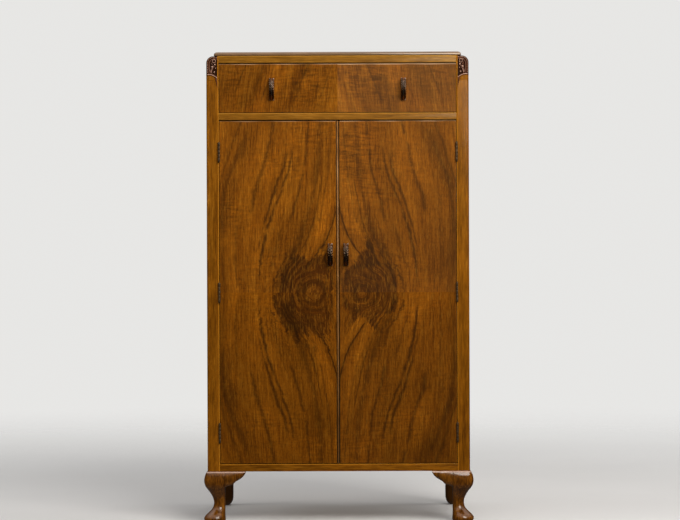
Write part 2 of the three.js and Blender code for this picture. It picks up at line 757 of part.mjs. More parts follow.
function doorPanel(side, sign) {
	const slab = block(
		spanOn(sign, [CLOSING_X[side], FRONT_OUTER_X]),
		[FRONT, FRONT + DOOR_T],
		DOOR_Z
	);
	const housings = hingeHousings(sign, [FRONT_OUTER_X - HOUSING_DEPTH, FRONT_OUTER_X + OVER]);
	const boreZ = [DOOR_Z[1] - CATCH.depth - FIT, DOOR_Z[1] + OVER];
	const bore = uprightCylinder(CATCH.radius + FIT, boreZ, 20, sign * CATCH.x, CATCH.y);
	return cut(slab, ...housings, bore);
}

const catchBarrel = (sign) => uprightLathe(CATCH_BARREL, 16, sign * CATCH.x, CATCH.y, DOOR_Z[1]);
const catchBall = (sign) =>
	new THREE.SphereGeometry(CATCH_BALL.radius, 14, 10)
		.translate(sign * CATCH.x, CATCH.y, DOOR_Z[1] - CATCH_BALL.drop);

// The bead on the left door's closing edge stands a little proud and hides the meeting line.
function doorBead() {
	const [left, right] = BEAD_SPAN;
	const radius = (right - left) / 2;
	const back = FRONT + DOOR_T;
	const nose = arc((left + right) / 2, FRONT - BEAD_PROUD + radius, radius, 180, 360, 8);
	return alongZ([[left, back], ...nose, [right, back]], DOOR_Z);
}

for (const [side, sign] of SIDES) {
	add(doors[side], side + '_door_panel', doorPanel(side, sign), walnutVeneer);
	add(doors[side], side + '_catch_barrel', catchBarrel(sign), brass);
	add(doors[side], side + '_catch_ball', catchBall(sign), steel);
}
add(doors.left, 'left_door_bead', doorBead(), walnutSolid);

export default wardrobe;
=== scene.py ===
# Compact walnut wardrobe: two doors over one drawer, quarter-matched veneer, carved corners,
# cabriole legs and bronze bow handles. It stands on z = 0 with its middle on x = 0.
# Metres in the frame's axes, +X right, -Y out of the front, +Z up, unless millimetres are named.
import math

import bpy
import bmesh
import numpy as np
from mathutils import Vector, Matrix

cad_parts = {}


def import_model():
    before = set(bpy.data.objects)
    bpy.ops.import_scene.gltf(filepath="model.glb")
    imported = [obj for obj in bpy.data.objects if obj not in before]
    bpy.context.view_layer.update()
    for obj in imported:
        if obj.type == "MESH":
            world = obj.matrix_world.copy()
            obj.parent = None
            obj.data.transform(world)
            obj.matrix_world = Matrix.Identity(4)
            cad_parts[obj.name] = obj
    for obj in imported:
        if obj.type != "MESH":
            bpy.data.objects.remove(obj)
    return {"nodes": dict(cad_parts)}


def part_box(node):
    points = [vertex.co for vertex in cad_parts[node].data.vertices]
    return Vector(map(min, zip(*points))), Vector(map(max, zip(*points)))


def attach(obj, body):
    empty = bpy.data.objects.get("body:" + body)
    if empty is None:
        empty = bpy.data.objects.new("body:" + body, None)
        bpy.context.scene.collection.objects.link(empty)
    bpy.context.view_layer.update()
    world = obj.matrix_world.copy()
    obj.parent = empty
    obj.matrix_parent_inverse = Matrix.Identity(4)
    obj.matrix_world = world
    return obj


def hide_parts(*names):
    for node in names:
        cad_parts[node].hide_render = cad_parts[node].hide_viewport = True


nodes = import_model()["nodes"]
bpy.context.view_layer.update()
MM = 0.001

# ------------------------------------------------------------------ places, all from the frame

PANELS = {
    "left_door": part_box("left_door_panel"),
    "right_door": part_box("right_door_panel"),
    "drawer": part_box("drawer_front"),
}
door_low, door_high = PANELS["left_door"]
FRONT = door_low.y
JOINT_Z = (door_low.z + door_high.z) / 2 - 0.001  # where upper and lower veneers meet
HALF_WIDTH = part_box("right_side")[1].x
STILE_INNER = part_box("right_front_stile")[0].x
LEG_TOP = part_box("front_right_leg")[1].z
SIDES = (("left", -1), ("right", 1))


def middle(name):
    low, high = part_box(name)
    return (low.x + high.x) / 2, (low.y + high.y) / 2, (low.z + high.z) / 2


def add_object(name, data):
    piece = bpy.data.objects.new(name, data)
    bpy.context.scene.collection.objects.link(piece)
    return piece


def fit(piece, body, replaces=None):
    """Tell the frame which body a piece moves with, and what it stands in for."""
    if replaces:
        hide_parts(replaces)
    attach(piece, body)


# ------------------------------------------------------------------ small node-tree language

def operator(operation, swapped=False):
    def apply(self, other=0.0):
        pair = (other, self) if swapped else (self, other)
        return self.tree.math(operation, *pair)

    return apply


class Value:
    """A shader output that arithmetic can be written with: each operator adds a Math node."""

    def __init__(self, tree, socket):
        self.tree = tree
        self.socket = socket

    __add__, __radd__ = operator("ADD"), operator("ADD", swapped=True)
    __sub__, __rsub__ = operator("SUBTRACT"), operator("SUBTRACT", swapped=True)
    __mul__, __rmul__ = operator("MULTIPLY"), operator("MULTIPLY", swapped=True)
    __pow__ = operator("POWER")
    __abs__ = operator("ABSOLUTE")

    def rise(self, start, end):
        """0 at start, 1 at end, smooth between; start may be above end."""
        if start < end:
            return self.tree.map_range(self, start, end, 0.0, 1.0)
        return self.tree.map_range(self, end, start, 1.0, 0.0)


class Tree:
    """The node tree of a material or world."""

    def __init__(self, owner):
        self.owner = owner
        owner.use_nodes = True
        owner.node_tree.nodes.clear()

    def put(self, socket, value):
        if isinstance(value, Value):
            value = value.socket
        if isinstance(value, bpy.types.NodeSocket):
            self.owner.node_tree.links.new(value, socket)
        elif socket.type == "RGBA":
            socket.default_value = (*value, 1)
        else:
            socket.default_value = value

    def add_node(self, kind, inputs=None, **props):
        node = self.owner.node_tree.nodes.new(kind)
        for key, value in props.items():
            setattr(node, key, value)
        for key, value in (inputs or {}).items():
            self.put(node.inputs[key], value)
        return node

    def node(self, kind, inputs=None, output=0, **props):
        return Value(self, self.add_node(kind, inputs, **props).outputs[output])

    def math(self, operation, first, second=0.0, clamp=False):
        inputs = {0: first, 1: second, 2: 0.0}
        return self.node("ShaderNodeMath", inputs, operation=operation, use_clamp=clamp)

    def map_range(self, value, from_min, from_max, to_min, to_max):
        inputs = {"Value": value, "From Min": from_min, "From Max": from_max,
                  "To Min": to_min, "To Max": to_max}
        return self.node(
            "ShaderNodeMapRange", inputs, output="Result", interpolation_type="SMOOTHSTEP"
        )

    def xyz(self, x, y, z):
        return self.node("ShaderNodeCombineXYZ", {0: x, 1: y, 2: z})

    def split(self, vector):
        outputs = self.add_node("ShaderNodeSeparateXYZ", {0: vector}).outputs
        return [Value(self, output) for output in outputs]

    def place(self, space="Object"):
        return self.node("ShaderNodeTexCoord", output=space)

    def attr(self, name):
        return self.node("ShaderNodeAttribute", output="Fac", attribute_name=name)

    def pointiness(self):
        return self.node("ShaderNodeNewGeometry", output="Pointiness")

    def noise(self, at, scale, detail=2.0, rough=0.5, warp=0.0):
        if isinstance(at, tuple):
            at = self.xyz(*at)
        inputs = {"Vector": at, "Scale": scale, "Detail": detail, "Roughness": rough,
                  "Distortion": warp}
        return self.node("ShaderNodeTexNoise", inputs, output="Fac")

    def ramp(self, value, stops):
        """Stops are (position, grey level or colour)."""
        node = self.add_node("ShaderNodeValToRGB", {0: value})
        elements = node.color_ramp.elements
        while len(elements) < len(stops):
            elements.new(0.5)
        for element, (at, color) in zip(elements, stops):
            element.position = at
            element.color = (color,) * 3 + (1,) if isinstance(color, float) else (*color, 1)
        return Value(self, node.outputs[0])

    def mix(self, amount, first, second, blend="MIX"):
        return self.node(
            "ShaderNodeMix", {0: amount, 6: first, 7: second}, output=2,
            data_type="RGBA", blend_type=blend,
        )

    def shade(self, color, by):
        return self.mix(1.0, color, by, "MULTIPLY")

    def finish(self, color, rough, bump, bump_size, metallic=0.0, coat=0.0, coat_rough=0.15,
               specular=0.5, tint=(1, 1, 1)):
        normal = self.node(
            "ShaderNodeBump", {"Strength": 0.6, "Distance": bump_size, "Height": bump}
        )
        surface = self.node("ShaderNodeBsdfPrincipled", {
            "Base Color": color,
            "Roughness": rough,
            "Metallic": metallic,
            "Coat Weight": coat,
            "Coat Roughness": coat_rough,
            "Specular IOR Level": specular,
            "Specular Tint": tint,
            "Normal": normal,
        })
        self.add_node("ShaderNodeOutputMaterial", {0: surface})
        return self.owner


def material_tree(name):
    return Tree(bpy.data.materials.new(name))


def scaled(color, by):
    return [c * by for c in color]


# ------------------------------------------------------------------ wood

VARNISH = (1.0, 0.74, 0.34)


def wood(name, along, tones, seed, streak=34.0, stretch=0.045, wave=0.006, figure=0.55,
         pores=0.35, rough=0.34, coat=0.16, coat_rough=0.15, specular=0.25, tone=0.12,
         lively=0.0, hand=0.0, painted_highlight=None, bare=None, painted_shade=()):
    """Straight-grained wood: streaks and pores run along one axis of the frame.

    tones are dark, middle and light. streak is the streaks' scale and stretch their scale along
    the grain; wave bends them. figure weighs broad bands against fine ones. tone is the depth of
    slow clouds, lively adds short ticks and mottling, and hand adds tool-like unevenness.
    The highlight edge and each shade edge are (axis, start, end): the first is painted pale as a
    highlight (to the given highlight colour, if any), and the others are painted dark as shade."""
    tree = material_tree(name)
    dark, mid, light = tones
    x, y, z = tree.split(tree.place())
    side, depth, length = {"x": (z, y, x), "y": (x, z, y), "z": (x, y, z)}[along]
    run = length * stretch
    slow = tree.noise((side + seed, depth, length * 0.35), scale=5.0, detail=2)
    across = (side + (slow - 0.5) * (wave * 2)) + seed * 1.7
    at = tree.xyz(across, depth + seed * 0.37, run)
    bands = tree.noise(at, scale=streak, detail=5, rough=0.62, warp=0.35)
    fine = tree.noise(at, scale=streak * 7.5, detail=3, rough=0.6)
    value = bands * figure + fine * (1 - figure)
    squeeze = 1 - 0.42 * lively
    stops = [0.5 + (stop - 0.5) * squeeze for stop in (0.3, 0.47, 0.56, 0.72)]
    color = tree.ramp(value, list(zip(stops, (dark, mid, mid, light))))

    hole = tree.noise((across * 1.0, depth, run * 0.55), scale=1150.0, detail=1, rough=0.4)
    pore = hole.rise(0.60, 0.70) * fine.rise(0.35, 0.6)
    color = tree.mix(pore * pores, color, scaled(dark, 0.35))
    if lively:
        at = (across, depth + seed, length * 0.09)
        tick = tree.noise(at, scale=340.0, detail=3, rough=0.6)
        color = tree.mix(tick.rise(0.52, 0.68) * (0.60 * lively), color, scaled(dark, 0.55))
        color = tree.mix(tick.rise(0.47, 0.32) * (0.40 * lively), color, scaled(light, 1.15))
        at = (across + 3.0, depth, length * 0.42)
        mottle = tree.noise(at, scale=46.0, detail=3, rough=0.6)
        mottle_stops = [(0.36, 1 - 0.24 * lively), (0.64, 1 + 0.24 * lively)]
        color = tree.shade(color, tree.ramp(mottle, mottle_stops))
    cloud = tree.noise((x + seed, y, z), scale=3.2, detail=2)
    color = tree.shade(color, tree.ramp(cloud, [(0.3, 1 - tone), (0.7, 1 + tone)]))

    # painted highlight and painted shade along edges, each: edge, colour, strength, patchiness
    edges = []
    # painted highlight: an edge painted pale where it would catch the light
    if painted_highlight:
        patchy = 0.55 + tree.noise((x, y, z), scale=70.0, detail=3, rough=0.6) * 0.9
        edges.append((painted_highlight, bare or scaled(light, 1.75), 0.62, patchy))
    # painted shade: edges painted dark where shade falls into gaps and quirks
    edges += [(edge, scaled(dark, 0.22), 0.9, 1.0) for edge in painted_shade]
    for (axis, start, end), target, strength, patchy in edges:
        position = abs(x) if axis == "abs x" else {"x": x, "z": z}[axis]
        mask = position.rise(start, end) * strength
        color = tree.mix(tree.math("MULTIPLY", mask, patchy, clamp=True), color, target)

    height = fine * 0.25 - pore
    if hand:
        height = height + tree.noise((x, y, z * 0.7), scale=85.0, detail=2, rough=0.5) * hand
    return tree.finish(
        color, rough=(rough - 0.05) + fine * 0.1, coat=coat, coat_rough=coat_rough,
        bump=height, bump_size=0.00012, specular=specular, tint=VARNISH,
    )


def highlight_edge(axis, edge, inwards):
    """A painted highlight that begins 2.4 mm inside an edge and is full 0.6 mm inside it."""
    return axis, edge + inwards * 0.0024, edge + inwards * 0.0006


top_rail_low, top_rail_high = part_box("top_rail")
middle_rail_low, middle_rail_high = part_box("middle_rail")
bead_low, bead_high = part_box("left_door_bead")

# The stiles' inner arris is painted pale as a highlight.
stile_wood = wood(
    "walnut_stile", along="z", seed=1.3,
    tones=((0.085, 0.0230, 0.0006), (0.200, 0.0640, 0.0016), (0.350, 0.1340, 0.0075)),
    streak=60, figure=0.45, lively=0.6, rough=0.36, coat=0.08, specular=0.16,
    painted_highlight=highlight_edge("abs x", STILE_INNER, 1),
)
# Each rail's top edge is painted pale as a highlight; the top and middle rails' lower edges are
# painted dark as shade in the gap below them.
rail_wood = wood(
    "walnut_rail", along="x", seed=2.9,
    tones=((0.125, 0.044, 0.0032), (0.225, 0.092, 0.0066), (0.370, 0.175, 0.0210)),
    streak=60, tone=0.08, figure=0.45, lively=0.55, specular=0.2, coat=0.12,
    painted_highlight=highlight_edge("z", top_rail_high.z, -1),
    painted_shade=[("z", top_rail_low.z + 0.0026, top_rail_low.z + 0.0012)],
)
middle_rail_wood = wood(
    "walnut_middle_rail", along="x", seed=3.7,
    tones=((0.108, 0.036, 0.0026), (0.205, 0.079, 0.0056), (0.340, 0.150, 0.0180)),
    streak=60, tone=0.10, figure=0.48, lively=0.5, specular=0.2, coat=0.12,
    painted_highlight=highlight_edge("z", middle_rail_high.z, -1),
    painted_shade=[("z", middle_rail_low.z + 0.0024, middle_rail_low.z + 0.0011)],
)
low_rail_wood = wood(
    "walnut_low_rail", along="x", seed=5.2,
    tones=((0.090, 0.0250, 0.0008), (0.190, 0.062, 0.0018), (0.310, 0.118, 0.0070)),
    streak=60, tone=0.08, figure=0.45, lively=0.7, specular=0.16, coat=0.08,
    painted_highlight=highlight_edge("z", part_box("bottom_rail")[1].z, -1),
)
# The knees' top edge is painted a pale pinkish colour as a highlight.
leg_wood = wood(
    "walnut_leg", along="z", seed=7.1,
    tones=((0.038, 0.0095, 0.0006), (0.106, 0.0325, 0.0016), (0.215, 0.076, 0.0060)),
    streak=52, stretch=0.12, figure=0.5, rough=0.38, coat=0.9, coat_rough=0.10,
    specular=0.12, lively=1.0, hand=4.5,
    painted_highlight=("z", LEG_TOP - 0.0040, LEG_TOP - 0.0022), bare=(0.62, 0.42, 0.33),
)
# The rear legs use a much darker copy of the legs' walnut, as painted shade under the case.
shaded_rear_leg_wood = wood(
    "walnut_rear_leg_shaded", along="z", seed=8.4,
    tones=((0.026, 0.0075, 0.0008), (0.055, 0.017, 0.0020), (0.085, 0.028, 0.004)),
    streak=52, rough=0.4,
)
side_wood = wood(
    "walnut_side", along="z", seed=11.7,
    tones=((0.070, 0.0210, 0.0014), (0.165, 0.058, 0.0050), (0.270, 0.112, 0.013)),
    streak=27, wave=0.022, figure=0.60, lively=0.5,
)
top_wood = wood(
    "walnut_top", along="x", seed=14.2,
    tones=((0.085, 0.027, 0.0022), (0.180, 0.068, 0.0070), (0.280, 0.125, 0.018)),
    streak=25, wave=0.022, figure=0.60, lively=0.5, rough=0.42, coat=0.06, specular=0.18,
)
# The nosing's walnut is paler and greyer than the top's, as a painted sheen, besides its real
# gloss.
top_edge_sheen_wood = wood(
    "walnut_top_edge_sheen", along="x", seed=14.2,
    tones=((0.070, 0.030, 0.0120), (0.130, 0.066, 0.0300), (0.220, 0.135, 0.070)),
    streak=40, figure=0.5, tone=0.10, lively=0.4, rough=0.3, coat=1.0, coat_rough=0.10,
    specular=0.5,
)
door_core_wood = wood(
    "walnut_door_core", along="z", seed=17.9,
    tones=((0.085, 0.030, 0.0035), (0.150, 0.056, 0.0065), (0.220, 0.094, 0.014)),
    streak=22, figure=0.6, lively=0.3,
)
drawer_core_wood = wood(
    "walnut_drawer_core", along="x", seed=18.8,
    tones=((0.100, 0.036, 0.0045), (0.175, 0.070, 0.0090), (0.250, 0.112, 0.017)),
    streak=22, figure=0.6, lively=0.3,
)
# The bead's two sides are painted dark as shade in the quirks beside it.
bead_wood = wood(
    "walnut_bead", along="z", seed=21.0,
    tones=((0.125, 0.045, 0.0085), (0.265, 0.118, 0.034), (0.450, 0.245, 0.098)),
    streak=60, figure=0.4, rough=0.36, coat=0.1, specular=0.2, lively=0.5,
    painted_shade=[("x", bead_low.x + 0.0028, bead_low.x + 0.0017),
           ("x", bead_high.x - 0.0020, bead_high.x - 0.0011)],
)

OAK = dict(
    tones=((0.250, 0.150, 0.062), (0.400, 0.255, 0.115), (0.520, 0.350, 0.175)),
    streak=30, pores=0.45, rough=0.55, coat=0.0,
)
PLY = dict(streak=9, stretch=0.09, wave=0.04, figure=0.72, pores=0.15, rough=0.6, coat=0.0,
           specular=0.2)
oak_along_y = wood("oak_lining", along="y", seed=24.5, **OAK)
oak_along_x = wood("oak_lining_back", along="x", seed=27.5, **OAK)
ply_along_z = wood(
    "ply_back", along="z", seed=31.0,
    tones=((0.230, 0.135, 0.058), (0.350, 0.215, 0.100), (0.440, 0.285, 0.145)), **PLY,
)
ply_along_x = wood(
    "ply_board", along="x", seed=33.0,
    tones=((0.230, 0.135, 0.058), (0.340, 0.208, 0.096), (0.430, 0.275, 0.140)), **PLY,
)


# ------------------------------------------------------------------ metals and the carved finish

def metal(name, bright, dark, seed, rough, wear, metallic=1.0, spread=0.5):
    """Cast or rolled metal with darker recesses and uneven polish.

    wear brightens the edges, and spread brightens blotches."""
    tree = material_tree(name)
    offset = {0: tree.place(), 1: (seed, seed * 2, seed * 3)}
    at = tree.node("ShaderNodeVectorMath", offset, operation="ADD")
    blotch = tree.noise(at, scale=84.0, detail=4, rough=0.6)
    fine = tree.noise(at, scale=960.0, detail=3, rough=0.6)
    pointiness = tree.pointiness()
    edge = pointiness.rise(0.495, 0.55)
    hollow = pointiness.rise(0.495, 0.46)
    polish = tree.math("ADD", edge * wear, blotch.rise(0.42, 0.7) * spread, clamp=True)
    color = tree.mix(hollow * 0.75, tree.mix(polish, dark, bright), scaled(dark, 0.4))
    return tree.finish(
        color, rough=rough + (fine - 0.5) * 0.25, metallic=metallic,
        bump=blotch * 0.5 + fine * 0.5, bump_size=0.00015,
    )


bronze_foot = metal("dark_bronze_foot", bright=(0.260, 0.195, 0.150),
                    dark=(0.036, 0.0170, 0.0080), seed=6.0, rough=0.36, wear=0.7, spread=0.35)
old_brass = metal("tarnished_brass", bright=(0.120, 0.072, 0.032), dark=(0.052, 0.028, 0.012),
                  seed=2.0, rough=0.5, wear=0.5, metallic=0.7)
brass = metal("brushed_brass", bright=(0.62, 0.43, 0.17), dark=(0.42, 0.27, 0.09),
              seed=3.0, rough=0.28, wear=0.4)
steel = metal("polished_steel", bright=(0.62, 0.62, 0.61), dark=(0.42, 0.42, 0.42),
              seed=4.0, rough=0.2, wear=0.3)
screw_brass = metal("screw_brass", bright=(0.42, 0.29, 0.12), dark=(0.16, 0.10, 0.045),
                    seed=5.0, rough=0.32, wear=0.7)


def handle_bronze():
    """Dark bronze, rubbed bright along the middle rib and on leaf tips, with bright specks, and
    painted lighter over the upper half as a highlight of the light from above.
    """
    dark, bright = (0.085, 0.0390, 0.0150), (0.560, 0.435, 0.335)
    recess = (0.0180, 0.0075, 0.0028)
    tree = material_tree("dark_bronze")
    x, y, z = tree.split(tree.place())
    at = tree.xyz(x + 0.31, y + 0.17, z)
    pointiness = tree.pointiness()
    rib = abs(x).rise(0.0026, 0.0006)
    tips = pointiness.rise(0.500, 0.545)
    speck = tree.noise(at, scale=420.0, detail=3, rough=0.6).rise(0.50, 0.64)
    # painted highlight: the upper half, which faces the light above, is made lighter
    upper = z.rise(-0.004, 0.020)
    rub_and_highlight = (rib * 0.50 + tips * 0.36) + (speck * 0.46 + upper * 0.34)
    rub_and_highlight = tree.math("SUBTRACT", rub_and_highlight, 0.28, clamp=True) * (0.70 + upper * 0.55)
    color = tree.mix(tree.math("MINIMUM", rub_and_highlight, 1.0), dark, bright)
    color = tree.mix(pointiness.rise(0.492, 0.46) * 0.70, color, recess)
    fine = tree.noise(at, scale=900.0, detail=3, rough=0.6)
    return tree.finish(
        color, rough=0.26 + (fine - 0.5) * 0.25, metallic=1.0,
        bump=speck * 0.4 + fine * 0.6, bump_size=0.00018,
    )


def carved_finish():
    """Dark walnut painted nearly black in the ground as shade in the recesses, and painted pale
    on the high places as a highlight.
    """
    ground, carving_highlight = (0.0150, 0.0048, 0.0020), (0.520, 0.310, 0.220)
    tree = material_tree("carved_walnut")
    at = tree.place()
    x, y, z = tree.split(at)
    grain = tree.noise((x, y, z * 0.12), scale=260.0, detail=4, rough=0.6)
    blotch = tree.noise(at, scale=90.0, detail=3)
    relief = tree.attr("relief")
    color = tree.ramp(grain, [
        (0.3, (0.050, 0.0130, 0.0036)),
        (0.55, (0.094, 0.0270, 0.0080)),
        (0.75, (0.145, 0.0480, 0.0150)),
    ])
    # painted shade in the carving's recesses
    color = tree.mix(relief.rise(0.46, 0.10) * 0.92, color, ground)
    # painted highlight on the carving's high places
    color = tree.mix(relief.rise(0.56, 0.92) * 0.84, color, carving_highlight)
    return tree.finish(
        color, rough=0.22 + blotch * 0.14, coat=relief.rise(0.2, 0.8) * 0.5, coat_rough=0.14,
        bump=grain, bump_size=0.0001, specular=0.08 + relief * 0.3, tint=(1.0, 0.80, 0.60),
    )


bronze = handle_bronze()
carved_walnut = carved_finish()


# ------------------------------------------------------------------ dressing the frame's pieces

def dress(name, material, bevel, segments=2, angle=32):
    """Weld, merge flat facets, break the edges by bevel millimetres, and give the finish."""
    piece = nodes[name]
    piece.data.materials.clear()
    piece.data.materials.append(material)
    for polygon in piece.data.polygons:
        polygon.material_index = 0
        polygon.use_smooth = True
    weld = piece.modifiers.new("weld", "WELD")
    weld.merge_threshold = 1e-6
    flat = piece.modifiers.new("flat", "DECIMATE")
    flat.decimate_type = "DISSOLVE"
    flat.angle_limit = math.radians(0.6)
    if bevel:
        edge = piece.modifiers.new("edge", "BEVEL")
        edge.width = bevel * MM
        edge.segments = segments
        edge.limit_method = "ANGLE"
        edge.angle_limit = math.radians(angle)
        edge.harden_normals = True
        edge.use_clamp_overlap = True


for side, _ in SIDES:
    dress(side + "_side", side_wood, bevel=0.8)
    dress(side + "_front_stile", stile_wood, bevel=0.9, segments=3)
    dress(side + "_drawer_runner", oak_along_y, bevel=0.5)
    dress("rear_" + side + "_leg", shaded_rear_leg_wood, bevel=0.0)
    dress(side + "_rail_socket", brass, bevel=0.25)
    dress(side + "_catch_barrel", brass, bevel=0.15)
    dress(side + "_catch_ball", steel, bevel=0.0)
    dress(side + "_door_panel", door_core_wood, bevel=0.5)
    dress("drawer_" + side + "_side", oak_along_y, bevel=0.6)
    for level in ("bottom", "middle", "top"):
        hinge = side + "_" + level + "_hinge_"
        dress(hinge + "frame_leaf", old_brass, bevel=0.2, angle=40)
        dress(hinge + "door_leaf", old_brass, bevel=0.2, angle=40)
        dress(hinge + "pin", old_brass, bevel=0.0)
dress("top_rail", rail_wood, bevel=0.8, segments=3)
dress("middle_rail", middle_rail_wood, bevel=0.8, segments=3)
dress("bottom_rail", low_rail_wood, bevel=0.8, segments=3)
dress("back_panel", ply_along_z, bevel=0.3)
dress("bottom_board", ply_along_x, bevel=0.5)
dress("dust_board", ply_along_x, bevel=0.3)
dress("drawer_back", oak_along_x, bevel=0.6)
dress("drawer_bottom", ply_along_x, bevel=0.3)
dress("drawer_front", drawer_core_wood, bevel=0.5)
dress("hanging_rail", brass, bevel=0.2)
dress("left_door_bead", bead_wood, bevel=0.0)


# ------------------------------------------------------------------ the matched veneer's figure

# Growth lines of one quarter of the figure. Each has a label, and points (distance from the
# meeting line, distance from the cross joint) in millimetres. The quarters mirror one another.
GROWTH = [
    (-70, [(-70, 0), (-72, 120), (-92, 240), (-112, 460), (-118, 620)]),
    (0, [(0, 0), (0, 70), (-12, 150), (-34, 240), (-58, 460), (-66, 620)]),
    (75, [(92, 0), (82, 48), (63, 88), (28, 138), (7, 201), (-6, 262), (-22, 460), (-30, 620)]),
    (157, [(158, 0), (152, 47), (122, 82), (95, 142), (74, 201), (53, 318), (47, 410),
           (42, 470), (36, 620)]),
    (209, [(209, 0), (206, 45), (203, 92), (186, 165), (147, 269), (122, 347), (114, 450),
           (104, 620)]),
    (240, [(240, 0), (241, 60), (239, 110), (230, 180), (208, 258), (184, 335), (160, 450),
           (140, 620)]),
    (275, [(273, 0), (276, 22), (284, 68), (291, 160), (292, 205), (283, 274), (244, 365),
           (212, 450), (180, 620)]),
    (330, [(328, 0), (333, 100), (343, 205), (340, 290), (318, 380), (290, 460), (250, 620)]),
    (460, [(455, 0), (462, 150), (470, 300), (450, 460), (415, 620)]),
]
GROWTH_REACH = 620  # how far from the cross joint the lines run

EYE_MIDDLE = 60  # from the meeting line, on the cross joint

# The six leaves, in the order they are laid. Lengths are in millimetres unless said otherwise.
# flitch: how far apart in the flitch the leaves were, in metres; end-to-end ones are neighbours.
# lift, grey and strong are brightness, a painted sheen that greys the leaf, and depth of the
# veins; the last key is the strength of a painted highlight along the top edge.
# calm: how far the contrast of the grain is lowered.
# bars and dark: places (across, along, two spreads, strength) where the fiddleback bars are
# plain, and where the eye is darkest.
# reach: the eye's reach from its middle, as (degrees from the outer side round to the meeting
# line, distance). The drawer's leaves have no eye.
LEAVES = {
    "left_door_lower": dict(
        body="left_door", flitch=0.0, lift=1.12, grey=0.0, strong=1.0, painted_highlight=0.0, calm=0.05,
        bars=[(200, 330, 60, 90, 0.35)],
        reach=[(0, 103), (23, 112), (38, 116), (52, 112), (62, 112), (69, 132), (76, 112),
               (88, 108), (98, 112), (106, 128), (114, 98), (128, 78), (180, 66)],
        dark=[(136, 50, 26, 32, 0.85), (100, 86, 36, 17, 1.0), (119, 24, 8, 36, 0.7),
              (108, 118, 9, 26, 0.6), (44, 116, 10, 26, 0.55), (82, 62, 30, 8, 0.5),
              (82, 134, 12, 30, 0.60), (60, 150, 8, 34, 0.50)],
    ),
    "left_door_upper": dict(
        body="left_door", flitch=0.0022, lift=1.08, grey=0.01, strong=1.0, painted_highlight=0.72, calm=0.0,
        bars=[(268, 190, 46, 56, 0.95), (150, 330, 60, 50, 0.40), (70, 420, 60, 40, 0.40)],
        reach=[(0, 99), (22, 101), (37, 106), (48, 98), (58, 108), (66, 114), (75, 86),
               (90, 82), (101, 96), (108, 116), (118, 92), (132, 78), (180, 64)],
        dark=[(142, 26, 18, 42, 0.65), (120, 28, 8, 34, 0.5), (114, 98, 12, 30, 0.55),
              (36, 116, 11, 26, 0.75), (84, 84, 34, 9, 0.55), (60, 102, 12, 12, 0.4)],
    ),
    "right_door_lower": dict(
        body="right_door", flitch=0.0120, lift=1.16, grey=0.01, strong=1.0, painted_highlight=0.0, calm=0.20,
        bars=[(150, 300, 70, 90, 0.40)],
        reach=[(0, 90), (17, 94), (33, 93), (45, 86), (58, 78), (68, 104), (78, 70),
               (92, 60), (101, 70), (108, 96), (116, 66), (130, 58), (180, 62)],
        dark=[(141, 16, 12, 30, 0.8), (52, 48, 12, 6.5, 1.1), (100, 92, 9, 34, 0.5),
              (28, 104, 6, 30, 0.35), (126, 52, 16, 14, 0.5)],
    ),
    "right_door_upper": dict(
        body="right_door", flitch=0.0143, lift=1.03, grey=0.05, strong=1.0, painted_highlight=0.80, calm=0.24,
        bars=[(40, 335, 56, 100, 1.35), (115, 262, 46, 26, 0.75)],
        reach=[(0, 90), (20, 97), (33, 102), (45, 96), (60, 88), (70, 104), (79, 126),
               (87, 108), (96, 80), (120, 72), (140, 66), (180, 60)],
        dark=[(140, 28, 12, 36, 0.8), (82, 114, 18, 38, 0.92), (106, 76, 40, 9, 0.72),
              (50, 66, 28, 8, 0.80), (118, 112, 9, 26, 0.45)],
    ),
    "left_drawer": dict(
        body="drawer", flitch=0.0290, lift=0.94, grey=0.0, strong=0.9, painted_highlight=0.80, calm=0.0,
        bars=[(62, 560, 60, 60, 0.95), (262, 575, 30, 40, 0.65)],
    ),
    "right_drawer": dict(
        body="drawer", flitch=0.0400, lift=0.95, grey=0.12, strong=0.9, painted_highlight=1.15, calm=0.0,
        bars=[(70, 560, 80, 60, 0.95), (235, 585, 60, 40, 0.40)],
    ),
}

# Dark flame near the hinge side, as places (across, along, two spreads, strength).
FLAME = [(286, 262, 24, 84, 1.0), (250, 370, 26, 60, 0.55)]


def soften(values, width):
    """Blur a row of numbers; width is in entries."""
    kernel = np.exp(-0.5 * (np.arange(-3 * width, 3 * width + 1) / width) ** 2)
    padded = np.pad(values, 3 * width, mode="edge")
    return np.convolve(padded, kernel / kernel.sum(), mode="valid")


def soft_step(x, start, end):
    t = np.clip((x - start) / (end - start), 0, 1)
    return t * t * (3 - 2 * t)


ALONG_TABLE = np.arange(0, GROWTH_REACH + 1, 1.0)
ACROSS_TABLE = np.stack([
    soften(np.interp(ALONG_TABLE, [p[1] for p in line], [p[0] for p in line]), 14)
    for _, line in GROWTH
])
LABELS = np.array([label for label, _ in GROWTH], float)


def growth(across, along):
    """Label of the growth line through each point, for arrays in millimetres."""
    along = np.clip(along, 0, GROWTH_REACH)
    lines = np.stack([np.interp(along.ravel(), ALONG_TABLE, row) for row in ACROSS_TABLE])
    flat = across.ravel()
    out = np.where(flat <= lines[0], LABELS[0], LABELS[-1])
    for k in range(len(LABELS) - 1):
        inside = (flat > lines[k]) & (flat <= lines[k + 1])
        share = (flat - lines[k]) / np.maximum(lines[k + 1] - lines[k], 1e-6)
        out = np.where(inside, LABELS[k] + share * (LABELS[k + 1] - LABELS[k]), out)
    return out.reshape(across.shape)


def places(table, across, along):
    """Sum of soft spots (across, along, two spreads, strength)."""
    return sum(
        strength * np.exp(-(((across - a) / wide) ** 2) - ((along - b) / tall) ** 2)
        for a, b, wide, tall, strength in table
    )


